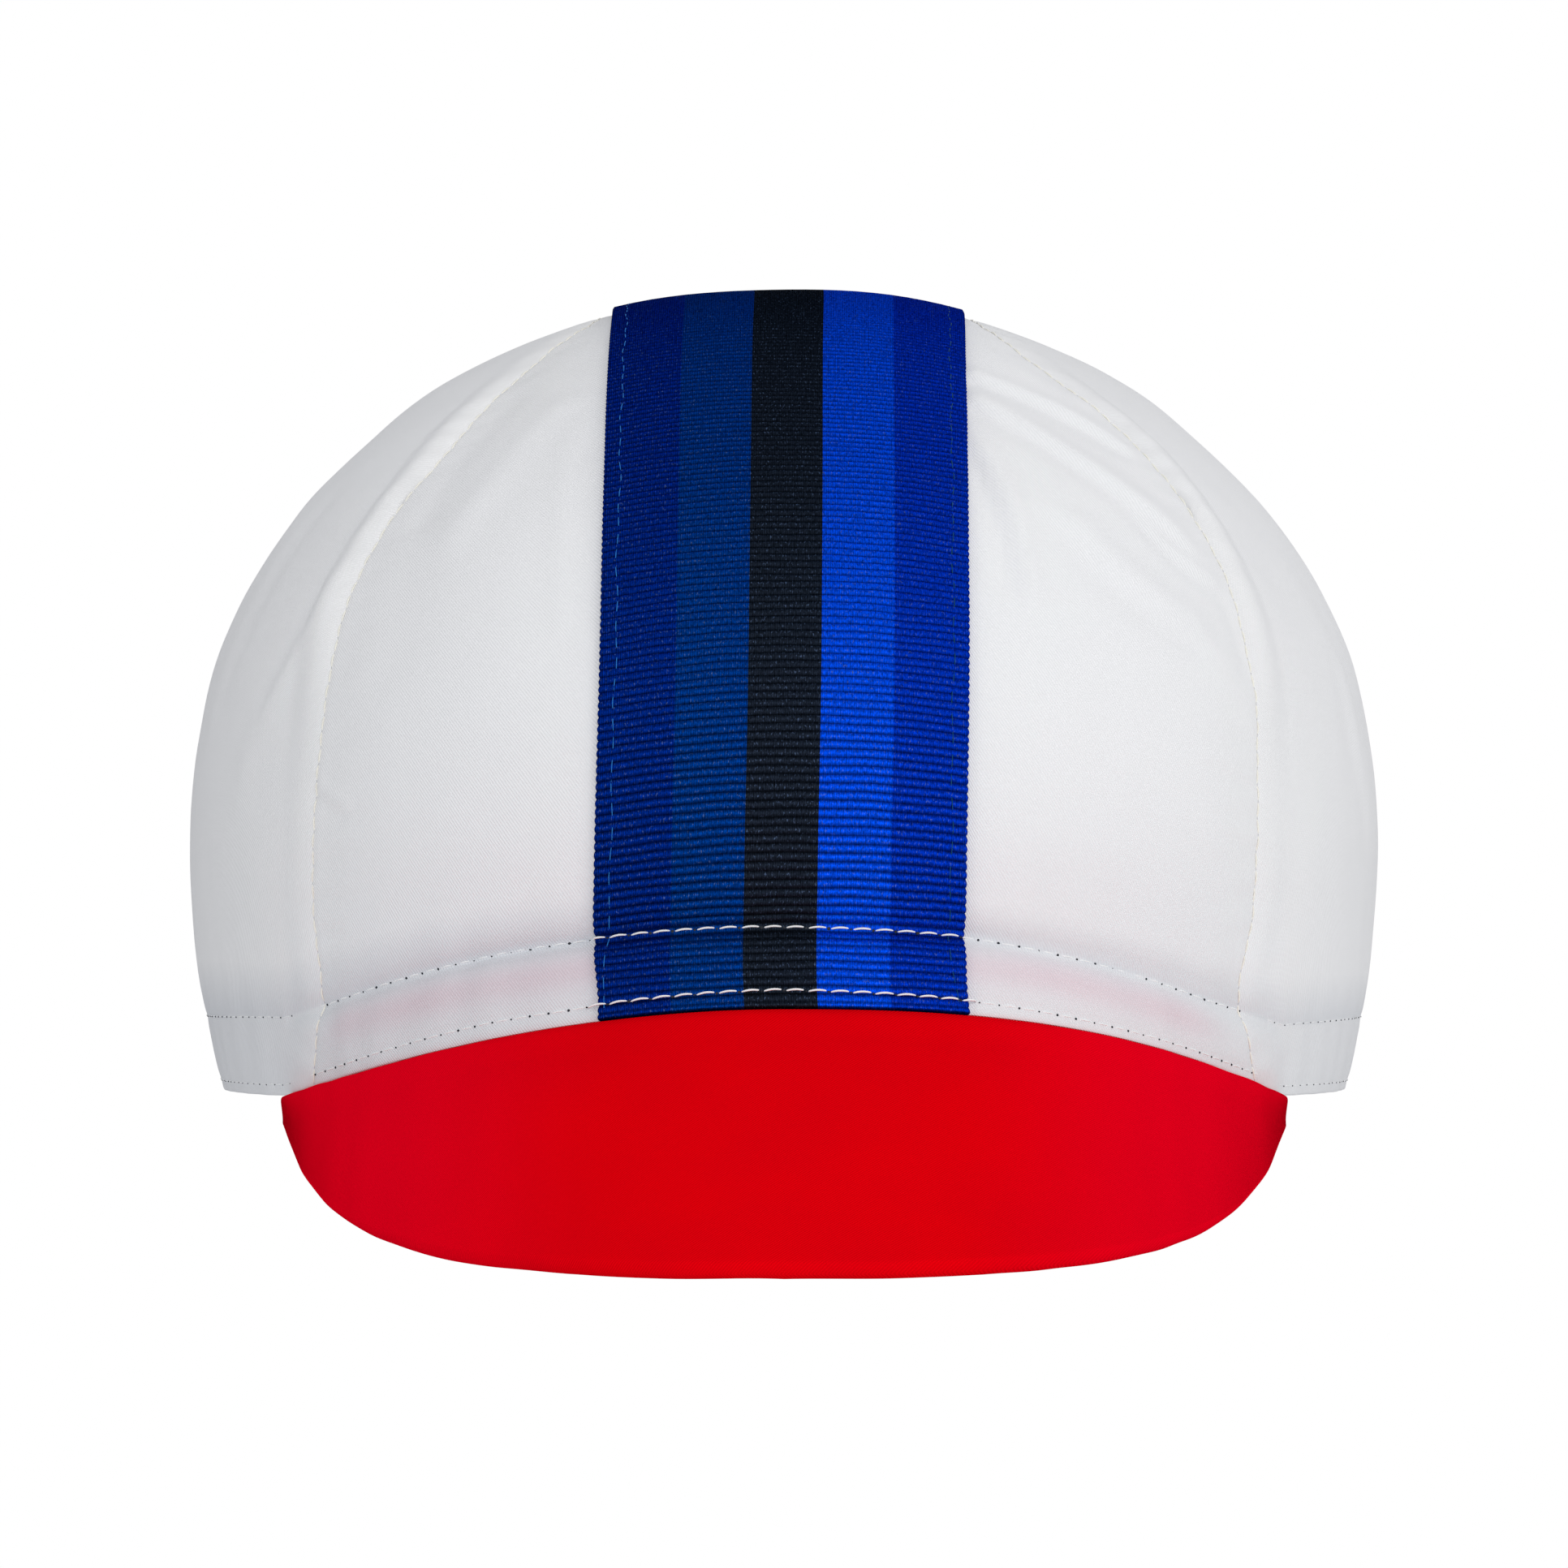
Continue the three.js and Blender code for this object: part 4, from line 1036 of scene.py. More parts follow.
def grosgrain():
    """Woven stripes across the ribbon. Each rib has a painted highlight on its top and painted shade in the
    groove beside it. Painted shade also darkens the ribs over the top of the cap, where they turn away from
    the lamps. The warp threads over the ribs are a sine across the ribbon and a noise drawn out along it.
    Where another noise is high, a pale fleck lies on the rib's top, scaled by the ribs' painted light."""
    material, tree = new_material("striped_grosgrain")
    cloth = add_node(tree, "ShaderNodeUVMap", uv_map="cloth").outputs["UV"]
    parts = add_node(tree, "ShaderNodeSeparateXYZ", {"Vector": cloth})
    share = math_node(tree, "MULTIPLY_ADD", parts.outputs["X"], 1 / RIBBON_WIDTH, 0.5)
    ramp = add_node(tree, "ShaderNodeValToRGB", {"Fac": share})
    ramp.color_ramp.interpolation = "CONSTANT"
    stripes = list(zip(STRIPES["red"], STRIPES["green"], STRIPES["blue"]))
    for _ in stripes[2:]:
        ramp.color_ramp.elements.new(1.0)
    for i, (element, colour) in enumerate(zip(ramp.color_ramp.elements, stripes)):
        element.position = i / len(stripes)
        element.color = (*colour, 1)
    rib_and_top_painted_light = add_node(tree, "ShaderNodeAttribute", attribute_name="rib_and_top_painted_light").outputs["Fac"]
    warp = math_node(tree, "MULTIPLY", parts.outputs["X"], 2 * math.pi / WARP_PITCH)
    warp = math_node(tree, "SINE", warp)
    narrow = add_node(tree, "ShaderNodeVectorMath", {
        0: cloth, 1: (THREAD_TONE["squeeze"], 1, 1)}, operation="MULTIPLY")
    thread = add_node(tree, "ShaderNodeTexNoise", {
        "Vector": narrow.outputs[0], "Scale": 1 / THREAD_TONE["size"], "Detail": 3.0})
    # Painted light on the ribs: lighter on their tops, painted shade in the grooves, and darker over the
    # top of the cap
    tone = math_node(tree, "MULTIPLY_ADD", rib_and_top_painted_light, 1.0 - RIB_SHADE, RIB_SHADE)
    grain = math_node(
        tree, "MULTIPLY_ADD", thread.outputs["Fac"], THREAD_TONE["slope"], THREAD_TONE["start"])
    tone = math_node(tree, "MULTIPLY", tone, grain)
    tone = math_node(tree, "MULTIPLY", tone, math_node(tree, "MULTIPLY_ADD", warp, WARP_SHADE, 1.0))
    colour = add_node(tree, "ShaderNodeHueSaturation", {"Color": ramp.outputs["Color"], "Value": tone})
    fleck_noise = add_node(tree, "ShaderNodeTexNoise", {
        "Vector": narrow.outputs[0], "Scale": 1 / FLECKS["size"], "Detail": 1.0})
    fleck = add_node(tree, "ShaderNodeMapRange", {
        "Value": fleck_noise.outputs["Fac"], "From Min": FLECKS["from"], "From Max": FLECKS["full"],
        "To Min": 0.0, "To Max": FLECKS["most"]})
    colour = add_node(tree, "ShaderNodeMix", {
        0: math_node(tree, "MULTIPLY", fleck.outputs[0], rib_and_top_painted_light), 6: colour.outputs["Color"], 7: FLECK},
        data_type="RGBA")
    height = math_node(tree, "MULTIPLY_ADD", thread.outputs["Fac"], THREAD_TONE["relief"], warp)
    normal = add_node(tree, "ShaderNodeBump", {"Height": height, "Distance": WARP_RELIEF, "Strength": 1.0})
    finish_material(tree, add_node(tree, "ShaderNodeBsdfPrincipled", {
        "Base Color": colour.outputs[2], "Normal": normal.outputs["Normal"],
        "Roughness": RIBBON_ROUGHNESS, "Metallic": RIBBON_GLOSS, "Specular IOR Level": 0.0,
        "Specular Tint": RIBBON_GRAZE}))
    return material


ribbon_base = ribbon_grid()
ribbon_face, ribbon_out = on_cloth(ribbon_base)
rib_phase = np.abs(np.sin(math.pi * np.arange(ribbon_base.shape[1]) / RIB_STEPS))[None, :]
# Minus 1 in the leftmost column and 1 in the rightmost, where the edge is thinner and scalloped by the ribs
edge_sign = np.zeros((RIBBON_COLUMNS, 1))
edge_sign[0], edge_sign[-1] = -1, 1
thick = (RIBBON_THICKNESS + RIB_HEIGHT * (rib_phase - 1)) * (1 - EDGE_THINNER * np.abs(edge_sign))
roll = hem_roll(ribbon_base[..., 2] - hem_height(ribbon_base), RIBBON_ROLL)
scallop = SCALLOP * (rib_phase - 0.5) * edge_sign
edge_line = ribbon_face + unit(np.gradient(ribbon_face, axis=0)) * scallop[..., None]
ribbon_outer = edge_line + ribbon_out * (GAP + thick - roll)[..., None]
ribbon_inner = edge_line + ribbon_out * (GAP - INNER_ROLL_SHARE * roll)[..., None]
# Painted shade over the top, where the ribs turn away from the lamps
deeper = TOP_PAINTED_SHADE["share"] * bump(angle_of(ribbon_base), TOP_PAINTED_SHADE["angle"], TOP_PAINTED_SHADE["reach"])
ribbon = cloth_wall("ribbon_grosgrain", ribbon_outer, ribbon_inner, grosgrain(),
                    {"rib_and_top_painted_light": rib_phase * (1 - deeper)})
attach(ribbon, "root")
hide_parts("ribbon")

# The hem band: the white cloth turned up inside all round and held by the two rows of stitches. In front
# it leaves room for the peak's tail.
BAND_GAP = 0.45
BAND_THICKNESS = 1.0
TAIL_THICKNESS = 0.8
TAIL_GAP = 0.6
PEAK_HALF = 66
BAND_TURNS = 520
BAND_HEIGHTS = np.array([0, 0.15, 0.35, 0.7, 1.2, 1.8, 2.5, 3.4, 4.6, 6, 7.5, 9, 10.3, 11, 11.8, 12.6,
                         13.0, 13.2])
BAND_LIP = {"gap": 0.06, "reach": 0.9}
BAND_ROLLS = {"lower": 0.6, "upper": 0.45}
# How far past the peak's ends the band starts to leave room for the tail, and where it does so in full
TAIL_ROOM = (11, 1)


def even_turns(height_of, count):
    """Turns round the hem that part the way along the cloth evenly, and the length of that way."""
    rough = np.linspace(0, 2 * math.pi, 4 * ROUGH_STEPS)
    run = run_along(on_cloth(around_hem(rough, height_of))[0][None])[0]
    return np.interp(np.linspace(0, run[-1], count + 1), run, rough), run[-1]


def band_inset(p):
    """How far inside the cloth's outer face the band lies: just inside the panels, or inside the tail."""
    past = np.abs(p[..., 0]) - PEAK_HALF
    share = np.where(p[..., 1] < 0, smooth_step(*TAIL_ROOM, past), 0)
    return CLOTH + BAND_GAP + share * (TAIL_THICKNESS + 2 * TAIL_GAP - BAND_GAP), share


def ring_wall(name, outer, inner, material):
    """A closed ring of cloth. The grids' last column is the first one again, so its points are left out
    and its faces use the first column's."""
    columns, rows = outer.shape[:2]
    sides, _ = wall_faces(columns, rows)
    points = np.concatenate((outer[:-1].reshape(-1, 3), inner[:-1].reshape(-1, 3)))
    cloth = np.tile(cloth_map(outer).reshape(-1, 2), (2, 1))
    first = np.arange(columns * rows).reshape(columns, rows)
    first[-1] = first[0]
    joined = np.concatenate((first.ravel(), first.ravel() + (columns - 1) * rows))
    piece = new_mesh(name, points, np.concatenate(sides), material, cloth, joined=joined)
    piece.data.set_sharp_from_angle(angle=SHARP_EDGE)
    return piece


band_turn, _ = even_turns(lambda p: 0 * p[..., 0], BAND_TURNS)
band_base = around_hem(np.repeat(band_turn[:, None], len(BAND_HEIGHTS), 1), lambda p: BAND_HEIGHTS[None, :])
band_face, band_out = on_cloth(band_base)
inset, tail_share = band_inset(band_base)
lip = (1 - tail_share) * (BAND_GAP - BAND_LIP["gap"]) * bump(BAND_HEIGHTS[None, :], 0, BAND_LIP["reach"])
band_roll = hem_roll(BAND_HEIGHTS, BAND_ROLLS["lower"])
band_roll = band_roll + hem_roll(BAND_HEIGHTS[-1] - BAND_HEIGHTS, BAND_ROLLS["upper"])
hem_band = ring_wall("hem_band_cloth", band_face - band_out * (inset - lip)[..., None],
                     band_face - band_out * (inset + BAND_THICKNESS - band_roll)[..., None], white)
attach(hem_band, "root")
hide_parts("hem_band")

# The peak: red cotton twill over a thin stiffener, turned down in front. Its straight lines all run down
# the same slope from the arched hem, and its thin tail is sewn up inside the hem.
PEAK_SLOPE = math.radians(30)
PEAK_DROP = {"middle": 1.25, "end": 0.75, "from": 52}
PEAK_THICKNESS = 2.5
PEAK_PUFF = {"height": 0.6, "reach": 7}
PEAK_NOSE = {"start": (2.0, 0.3), "reach": 2.4}
PEAK_ROOT = {"start": 0.1, "way": 0.5, "full": 4}
PEAK_END_SHARE = 0.5
PEAK_SHORTEST = 0.8
PEAK_MARGIN = 0.4
PEAK_RIM = 0.5
PEAK_RIM_THIN = 0.06
PEAK_FIRST_SHARE = 0.02
NUDGE = 0.5
# The peak's length down the slope against x, as it would be from a level this far below the hem
PEAK_LENGTH_BELOW = 2.2
PEAK_LENGTH = table("side left right", [
    [0, 57.8, 57.8],
    [15, 56.5, 57.2],
    [25, 53.9, 55.3],
    [34, 50.1, 52.2],
    [42.5, 45.3, 47.6],
    [50, 38.7, 41.2],
    [55.5, 31.9, 34.0],
    [60, 23.6, 25.0],
    [62.6, 16.2, 17.5],
    [64.6, 8.6, 9.6],
    [65.8, 3.0, 4.0],
    [66.4, 0.6, 0.8],
])
TAIL = {"foot": 0.6, "end": 1.4, "rise": 7.6, "power": 0.8}
BEND = {"back": 2.1, "down": 0.9, "half": 0.55}
PEAK_COLUMNS = 181
PEAK_CROWDING = math.radians(83)
PEAK_ALONG = 64
PEAK_RIM_STEPS = 7
PEAK_WAVE = {"strength": 0.1, "size": 30, "seed": 41}
PEAK_WAVE_EASE = (4, 14)

peak_length_left = curve_through(PEAK_LENGTH["side"], PEAK_LENGTH["left"])
peak_length_right = curve_through(PEAK_LENGTH["side"], PEAK_LENGTH["right"])


def hem_point(x, height, offset):
    """Points inside or outside the front cloth at x and a height above the hem, and the way out."""
    p = above_hem(lambda angle: x, height + 0 * x, False)
    cloth_face, way_out = on_cloth(p)
    return cloth_face + way_out * np.reshape(offset, (-1, 1)), way_out


def peak_wall():
    """The peak's upper and under face. Each column is a chain of stations with a middle point, a normal
    and a half thickness: up the tail, round the bend under the hem, down the slope and round the rim. The
    nose at the top of the slope and the rim are quarter rounds. A soft wave runs over the slope."""
    turn = np.linspace(-PEAK_CROWDING, PEAK_CROWDING, PEAK_COLUMNS)
    x = PEAK_HALF * np.sin(turn) / math.sin(PEAK_CROWDING)
    down = np.array([0, -math.cos(PEAK_SLOPE), -math.sin(PEAK_SLOPE)])
    edge, hem_out = hem_point(x, 0, 0 * x)
    along = hem_point(x + NUDGE, 0, 0 * x)[0] - hem_point(x - NUDGE, 0, 0 * x)[0]
    normal = unit(np.cross(along, down))
    normal = normal * np.sign(normal[:, 2:])
    at_end = np.abs(np.abs(x) - PEAK_HALF) < LEAST_SQUARE
    full = PEAK_THICKNESS / 2 * np.where(at_end, PEAK_END_SHARE, 1)
    middles, normals, halves = [], [], []

    def station(middle, way, half):
        middles.append(middle)
        normals.append(way)
        halves.append(half + 0 * x)

    tail = TAIL["end"] + TAIL["rise"] * (1 - (x / PEAK_HALF) ** 2) ** TAIL["power"]
    for height in (tail, (tail + TAIL["foot"]) / 2, TAIL["foot"] + 0 * x):
        middle, way_out = hem_point(x, height, -CLOTH - TAIL_GAP - TAIL_THICKNESS / 2 + 0 * x)
        station(middle, way_out, TAIL_THICKNESS / 2)
    bend = edge - hem_out * BEND["back"] - np.array([0, 0, BEND["down"]])
    station(bend, unit(hem_out + normal), BEND["half"])

    at_side = smooth_step(PEAK_DROP["from"], PEAK_HALF, np.abs(x))
    drop = lerp(PEAK_DROP["middle"], PEAK_DROP["end"], at_side)
    nose_start = lerp(*PEAK_NOSE["start"], at_side)
    root = edge - np.array([0, 0, 1]) * drop[:, None]
    length = np.where(edge[:, 0] < 0, peak_length_left(np.abs(edge[:, 0]))[0],
                      peak_length_right(np.abs(edge[:, 0]))[0])
    length = np.maximum(PEAK_SHORTEST, length + (PEAK_LENGTH_BELOW - drop) / math.sin(PEAK_SLOPE))
    last = length + PEAK_MARGIN
    first = PEAK_ROOT["start"] + PEAK_ROOT["way"] * np.minimum(1, length / PEAK_ROOT["full"])

    def on_slope(way, half):
        nose = np.sqrt(1 - (1 - np.minimum(1, (way + nose_start) / PEAK_NOSE["reach"])) ** 2)
        puff = PEAK_PUFF["height"] * (1 - smooth_step(0, PEAK_PUFF["reach"], way))
        station(root + down * way[:, None] + normal * puff[:, None], normal, half * nose)

    on_slope(first, full)
    for share in np.linspace(PEAK_FIRST_SHARE, 1, PEAK_ALONG):
        on_slope(lerp(PEAK_SHORTEST, last, share), full)
    for turned in np.linspace(0, math.pi / 2, PEAK_RIM_STEPS)[1:]:
        rim_way = last + PEAK_RIM * PEAK_THICKNESS * math.sin(turned)
        on_slope(rim_way, full * max(PEAK_RIM_THIN, math.cos(turned)))

    middle = np.stack(middles, 1)
    normal_grid = np.stack(normals, 1)
    half = np.stack(halves, 1)[..., None]
    wave = waver(middle, PEAK_WAVE) * smooth_step(*PEAK_WAVE_EASE, np.arange(middle.shape[1]))
    middle = middle + normal_grid * wave[..., None]
    return middle + normal_grid * half, middle - normal_grid * half


RED = (0.76, 0.0, 0.0035, 1)
RED_DEEP = (0.64, 0.0, 0.005, 1)
RED_END = (0.80, 0.0, 0.012, 1)
RED_AT_END = (20, 58)
RED_SHEEN = 0.0005
RED_SLANT = math.radians(42)
RED_MOTTLE = {"from": 0.35, "full": 0.75, "most": 0.5}
RED_RIB_DEPTH = 0.09


def red_twill():
    """Red twill with slanting ribs, a deeper red where the mottle is high, and cooler toward its ends."""
    material, tree = new_material("red_twill")
    cloth = add_node(tree, "ShaderNodeUVMap", uv_map="cloth").outputs["UV"]
    rib, normal = twill_relief(tree, cloth, RED_SLANT, TWILL_RELIEF)
    mottle = add_node(tree, "ShaderNodeTexNoise", {
        "Vector": cloth, "Scale": 1 / MOTTLE_SIZE, "Detail": 3.0})
    share = add_node(tree, "ShaderNodeMapRange", {
        "Value": mottle.outputs["Fac"], "From Min": RED_MOTTLE["from"], "From Max": RED_MOTTLE["full"],
        "To Min": 0.0, "To Max": RED_MOTTLE["most"]})
    tint = add_node(tree, "ShaderNodeMix", {0: share.outputs[0], 6: RED, 7: RED_DEEP}, data_type="RGBA")
    aside = add_node(tree, "ShaderNodeAttribute", attribute_name="aside")
    tint = add_node(tree, "ShaderNodeMix", {
        0: aside.outputs["Fac"], 6: tint.outputs[2], 7: RED_END}, data_type="RGBA")
    tone = math_node(tree, "MULTIPLY_ADD", rib, RED_RIB_DEPTH, 1.0)
    return finish_twill(material, tree, tint.outputs[2], tone, normal, RED_SHEEN)


peak_outer, peak_inner = peak_wall()
peak = cloth_wall("peak_twill", peak_outer, peak_inner, red_twill(),
                  {"aside": smooth_step(*RED_AT_END, np.abs(peak_outer[..., 0]))})
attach(peak, "root")
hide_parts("peak")

# The threads: two rows of white lockstitch round the hem through all its layers, a fine cream thread in
# each long seam, and fine blue stitches along the ribbon's edges. Each stitch is a short tube whose ends
# dive into the cloth.
THREAD_SIDES = 6
THREAD_POINTS = 8
STITCH_PITCH = 2.88
STITCH_GAP = 0.12
STITCH_END = 0.35
END_POWER = 0.4
RIBBON_TOP = GAP + RIBBON_THICKNESS
RIBBON_STEP = (0.5, -0.1)
PAST_PEAK = (0, 0.3)
ON_RIBBON = {"radius": 0.145, "stand": 0.15, "arch": 0.2, "tilt": 0.16}
ON_WHITE = {"radius": 0.1, "around": 0.07, "stand": 0.05, "arch": 0.08, "tilt": 0.05}
DIVE = 0.36
ON_BAND = {"radius": 0.13, "stand": 0.07, "dive": 0.3}
THREAD_FIBRE = {"scale": 6000.0, "depth": 0.25, "start": 0.86, "relief": 0.03 * MM}
THREAD_ROUGHNESS = 0.6
THREAD_SHINE = 0.1
THREAD_SHEEN = {"weight": 0.01, "roughness": 0.4}
WHITE_THREAD = (0.86, 0.87, 0.88, 1)


def thread_mesh(name, path, up, radius, material):
    """Tubes of six sides joined in one mesh: path holds their points, up the way out of the cloth. A
    ring's point is the tube's side times a cosine and its top times a sine, times the radius."""
    tangent = unit(np.gradient(path, axis=1))
    side = unit(np.cross(tangent, up))
    top = np.cross(side, tangent)
    turn = 2 * math.pi * np.arange(THREAD_SIDES) / THREAD_SIDES
    ring = side[:, :, None] * np.cos(turn)[:, None] + top[:, :, None] * np.sin(turn)[:, None]
    points = path[:, :, None] + ring * radius[:, :, None, None]
    count, length = path.shape[:2]
    number = np.arange(count * length * THREAD_SIDES).reshape(count, length, THREAD_SIDES)
    turned = np.roll(number, -1, axis=2)
    tube = np.stack([number[:, :-1], turned[:, :-1], turned[:, 1:], number[:, 1:]], -1).reshape(-1, 4)
    start, end = number[:, 0], number[:, -1]
    start_caps = [start[:, [3, 2, 1, 0]], start[:, [5, 4, 3, 0]]]
    end_caps = [end[:, :4], end[:, [0, 3, 4, 5]]]
    faces = np.concatenate((tube, *start_caps, *end_caps))
    return new_mesh(name, points.reshape(-1, 3), faces, material)


def cotton_thread(name, colour, roughness=THREAD_ROUGHNESS):
    """Twisted thread: a slightly shiny core whose fine uneven fibres are a noise in tone and relief."""
    material, tree = new_material(name)
    place = add_node(tree, "ShaderNodeTexCoord").outputs["Object"]
    fibre = add_node(tree, "ShaderNodeTexNoise", {
        "Vector": place, "Scale": THREAD_FIBRE["scale"], "Detail": 2.0})
    tone = math_node(
        tree, "MULTIPLY_ADD", fibre.outputs["Fac"], THREAD_FIBRE["depth"], THREAD_FIBRE["start"])
    tint = add_node(tree, "ShaderNodeHueSaturation", {"Color": colour, "Value": tone})
    normal = add_node(tree, "ShaderNodeBump", {
        "Height": fibre.outputs["Fac"], "Distance": THREAD_FIBRE["relief"]})
    finish_material(tree, add_node(tree, "ShaderNodeBsdfPrincipled", {
        "Base Color": tint.outputs["Color"], "Normal": normal.outputs["Normal"], "Roughness": roughness,
        "Specular IOR Level": THREAD_SHINE, "Sheen Weight": THREAD_SHEEN["weight"],
        "Sheen Roughness": THREAD_SHEEN["roughness"]}))
    return material


def over_ribbon(p):
    """1 on the ribbon, 0 on the bare cloth, with a short step between them at the ribbon's edge."""
    past = np.abs(p[..., 0] - ribbon_middle(angle_of(p))[0]) - RIBBON_WIDTH / 2
    return smooth_step(*RIBBON_STEP, past)


def row_stitches(row):
    """The paths, ways out and radii of one row's stitches on the outside, the needle's holes, and the
    paths before they arch. A stitch arches as half a sine wave, tilts, and dives at its two ends."""
    turns, length = even_turns(lambda p: row_height(row, p), 4 * ROUGH_STEPS)
    count = round(length / STITCH_PITCH)
    run = np.linspace(0, 1, len(turns))
    share = np.linspace(0, 1, THREAD_POINTS)
    half_gap = STITCH_GAP / STITCH_PITCH / 2
    at = (np.arange(count)[:, None] + lerp(half_gap, 1 - half_gap, share)[None, :]) / count
    turn = np.interp(at, run, turns)
    flat = around_hem(turn, lambda p: row_height(row, p))
    band = over_ribbon(flat)
    arch = np.sin(math.pi * share)[None, :]
    rise = lerp(ON_WHITE["arch"], ON_RIBBON["arch"], band) * arch
    rise = rise + lerp(ON_WHITE["tilt"], ON_RIBBON["tilt"], band) * (share - 0.5)[None, :]
    p = around_hem(turn, lambda q: row_height(row, q) + rise)
    cloth_face, way_out = on_cloth(p)
    stand = lerp(ON_WHITE["stand"], ON_RIBBON["stand"], band) * arch ** 0.5 - DIVE * (1 - arch ** 0.5)
    stand = stand + band * RIBBON_TOP
    path = cloth_face + way_out * stand[..., None]
    plain = lerp(ON_WHITE["around"], ON_WHITE["radius"], smooth_step(*PAST_PEAK, front_share(flat)))
    radius = lerp(plain, ON_RIBBON["radius"], band) * lerp(STITCH_END, 1, arch ** END_POWER)
    hole_turn = np.interp(np.arange(count) / count, run, turns)
    holes = around_hem(hole_turn, lambda q: row_height(row, q))
    return path, way_out, radius, holes, flat


def inner_stitches(flat):
    """The same stitches seen inside, on the hem band."""
    cloth_face, way_out = on_cloth(flat)
    depth = band_inset(flat)[0] + BAND_THICKNESS
    arch = np.sin(math.pi * np.linspace(0, 1, THREAD_POINTS))[None, :] ** 0.5
    rise = ON_BAND["stand"] * arch - ON_BAND["dive"] * (1 - arch)
    path = cloth_face - way_out * (depth + rise)[..., None]
    return path, -way_out, ON_BAND["radius"] * lerp(STITCH_END, 1, arch) + 0 * depth


rows = [row_stitches(row) for row in ("lower", "upper")]
stitches = [row[:3] for row in rows] + [inner_stitches(row[4]) for row in rows]
hem_stitches = thread_mesh("hem_stitches", *(np.concatenate(part) for part in zip(*stitches)),
                           cotton_thread("white_thread", WHITE_THREAD))
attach(hem_stitches, "root")

# The needle's holes: a small dark pit at each end of the stitches, drawn with a low dark dome. The dome's
# dark colour is painted shade, the shade inside the hole.
HOLE_RADIUS = {"lower": 0.17, "upper": 0.22, "around": 0.55}
HOLE_SPREAD = (0.65, 1.1)
HOLE_SEED = 17
HOLE_SUNK = 0.03
HOLE_RINGS = ((1.0, -0.12), (1.0, 0.03), (0.7, 0.11))
HOLE_SIDES = 8
HOLE_DARK = (0.012, 0.014, 0.02, 1)
HOLE_FIBRE = (0.06, 0.065, 0.075, 1)
HOLE_FIBRE_SCALE = 5000.0


def hole_mesh(name, centres, up, radius, material):
    """Low domes of eight sides in one mesh, each of three rings: one sunk in the cloth, one just above it,
    and the edge of the flat top."""
    first = unit(np.cross(up, np.array([0, 0, 1.0])))
    second = np.cross(up, first)
    turn = 2 * math.pi * np.arange(HOLE_SIDES) / HOLE_SIDES
    rings = []
    for size, stand in HOLE_RINGS:
        ring = first[:, None] * np.cos(turn)[:, None] + second[:, None] * np.sin(turn)[:, None]
        rings.append(centres[:, None] + ring * (radius * size)[:, None, None] + (up * stand)[:, None])
    points = np.stack(rings, 1)
    count = len(centres)
    number = np.arange(count * len(rings) * HOLE_SIDES).reshape(count, len(rings), HOLE_SIDES)
    turned = np.roll(number, -1, axis=2)
    sides = np.stack([number[:, :-1], turned[:, :-1], turned[:, 1:], number[:, 1:]], -1).reshape(-1, 4)
    top, foot = number[:, -1], number[:, 0]
    caps = [top[:, [0, 1, 2, 3]], top[:, [0, 3, 4, 5]], top[:, [0, 5, 6, 7]],
            foot[:, [3, 2, 1, 0]], foot[:, [5, 4, 3, 0]], foot[:, [7, 6, 5, 0]]]
    return new_mesh(name, points.reshape(-1, 3), np.concatenate([sides] + caps), material)


def dark_pit():
    """The shade inside a needle's hole, a little paler where a noise sets fibres."""
    material, tree = new_material("needle_hole")
    place = add_node(tree, "ShaderNodeTexCoord").outputs["Object"]
    fibre = add_node(tree, "ShaderNodeTexNoise", {"Vector": place, "Scale": HOLE_FIBRE_SCALE})
    tint = add_node(tree, "ShaderNodeMix", {
        0: fibre.outputs["Fac"], 6: HOLE_DARK, 7: HOLE_FIBRE}, data_type="RGBA")
    finish_material(tree, add_node(tree, "ShaderNodeBsdfPrincipled", {
        "Base Color": tint.outputs[2], "Roughness": 1.0, "Specular IOR Level": 0.0}))
    return material


hole_base = np.concatenate([row[3] for row in rows])
hole_face, hole_out = on_cloth(hole_base)
hole_stand = over_ribbon(hole_base) * (RIBBON_TOP - HOLE_SUNK)
hole_random = np.random.default_rng(HOLE_SEED)
hole_sizes = [np.full(len(row[3]), HOLE_RADIUS[name]) for row, name in zip(rows, ("lower", "upper"))]
hole_radius = np.concatenate(hole_sizes) * hole_random.uniform(*HOLE_SPREAD, len(hole_base))
hole_front = smooth_step(*PAST_PEAK, front_share(hole_base))
hole_radius = hole_radius * lerp(HOLE_RADIUS["around"], 1, hole_front)
hole_centres = hole_face + hole_out * hole_stand[:, None]
needle_holes = hole_mesh("needle_holes", hole_centres, hole_out, hole_radius, dark_pit())
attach(needle_holes, "root")

# The seam threads: a cream thread that shows as fine stitches at the bottom of each long seam's groove.
SEAM_STITCH = {"start": 0.4, "pitch": 2.3, "ends": 0.04}
SEAM_RADIUS = 0.13
SEAM_DEPTH = 0.03
SEAM_DIVE = 0.2
THIN_END = 0.4
CREAM_THREAD = (0.88, 0.86, 0.79, 1)
CREAM_ROUGHNESS = 0.9


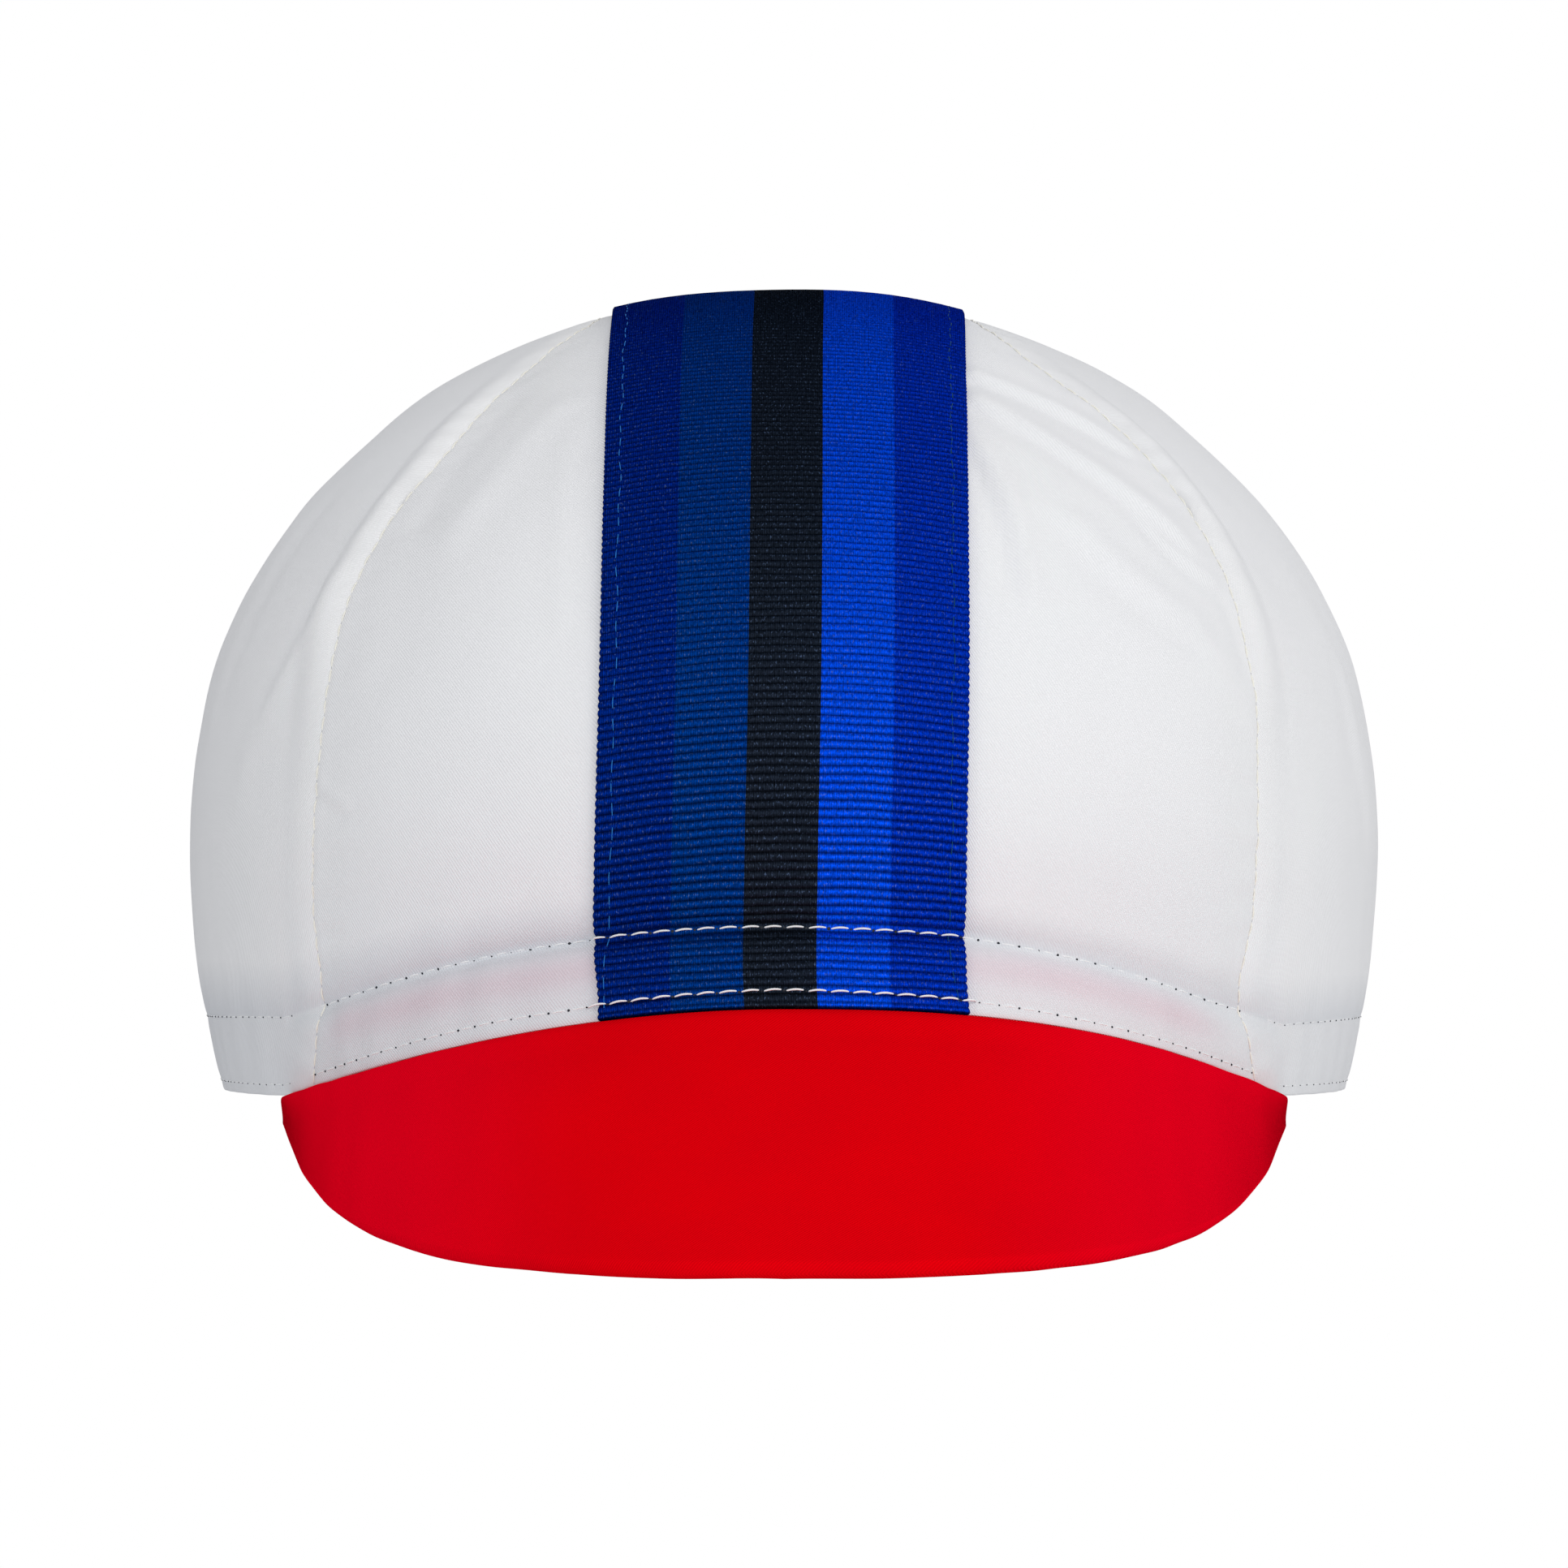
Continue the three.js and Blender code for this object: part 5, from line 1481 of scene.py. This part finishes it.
def stitches_over(x_at, start, pitch, ends):
    """Stitches along a column, evenly spaced over the top from a height above the front hem to the same
    height at the back: their points on the cloth and the way out, and an arch, the root of half a sine
    wave, which is 0 at a stitch's two ends and 1 in its middle."""
    height = np.array([[start]])
    ahead, behind = angle_of(above_hem(x_at, height, False)), angle_of(above_hem(x_at, height, True))
    rough = lerp(ahead, behind, np.linspace(0, 1, 4 * ROUGH_STEPS))
    run = run_along(on_cloth(over_top(x_at(rough), rough))[0])[0]
    count = round(run[-1] / pitch)
    share = np.linspace(0, 1, THREAD_POINTS)
    at = (np.arange(count)[:, None] + lerp(ends, 1 - ends, share)[None, :]) / count * run[-1]
    angle = np.interp(at, run, rough[0])
    cloth_face, way_out = on_cloth(over_top(x_at(angle), angle))
    return cloth_face, way_out, np.sin(math.pi * share)[None, :] ** 0.5 + 0 * at


def seam_threads():
    """Stitches along both seams, which dive into the groove and grow thinner at their ends."""
    threads = []
    for sign, seam in ((-1, seam_left), (1, seam_right)):
        def x_at(angle, sign=sign, seam=seam):
            return sign * seam(angle)[0]
        cloth_face, way_out, arch = stitches_over(x_at, **SEAM_STITCH)
        seam_path = cloth_face - way_out * (SEAM_DEPTH + SEAM_DIVE * (1 - arch))[..., None]
        threads.append((seam_path, way_out, SEAM_RADIUS * lerp(THIN_END, 1, arch)))
    return [np.concatenate(part) for part in zip(*threads)]


seam_stitches = thread_mesh("seam_stitches", *seam_threads(),
                            cotton_thread("cream_thread", CREAM_THREAD, CREAM_ROUGHNESS))
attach(seam_stitches, "root")

# The ribbon's edge stitches: a thin bright blue thread on the left, a darker one on the right.
EDGE_INSET = 2.1
EDGE_STITCH = {"start": 1.0, "pitch": 2.9, "ends": 0.1}
EDGE_RADIUS = 0.065
EDGE_SUNK = 0.03
EDGE_DIVE = 0.22
# Two slow waves that the line of stitches wanders by: width, speed over the angle, and phase
EDGE_WANDER = ((0.12, 0.9, 0), (0.1, 0.37, 1))
EDGE_THREADS = (("left", -1, (0.02, 0.17, 0.52, 1)), ("right", 1, (0.005, 0.06, 0.16, 1)))


def edge_threads(sign):
    """Short stitches along the ribbon, a little inside its edge, that wander by the sum of two sines."""
    def x_at(angle):
        wander = sum(width * np.sin(angle * speed + phase) for width, speed, phase in EDGE_WANDER)
        return ribbon_middle(angle)[0] + sign * (RIBBON_WIDTH / 2 - EDGE_INSET) + wander
    cloth_face, way_out, arch = stitches_over(x_at, **EDGE_STITCH)
    stand = RIBBON_TOP - EDGE_SUNK - EDGE_DIVE * (1 - arch)
    return cloth_face + way_out * stand[..., None], way_out, EDGE_RADIUS * lerp(THIN_END, 1, arch)


for side_name, sign, colour in EDGE_THREADS:
    edge_stitches = thread_mesh(f"ribbon_stitches_{side_name}", *edge_threads(sign),
                                cotton_thread(f"blue_thread_{side_name}", colour))
    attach(edge_stitches, "root")
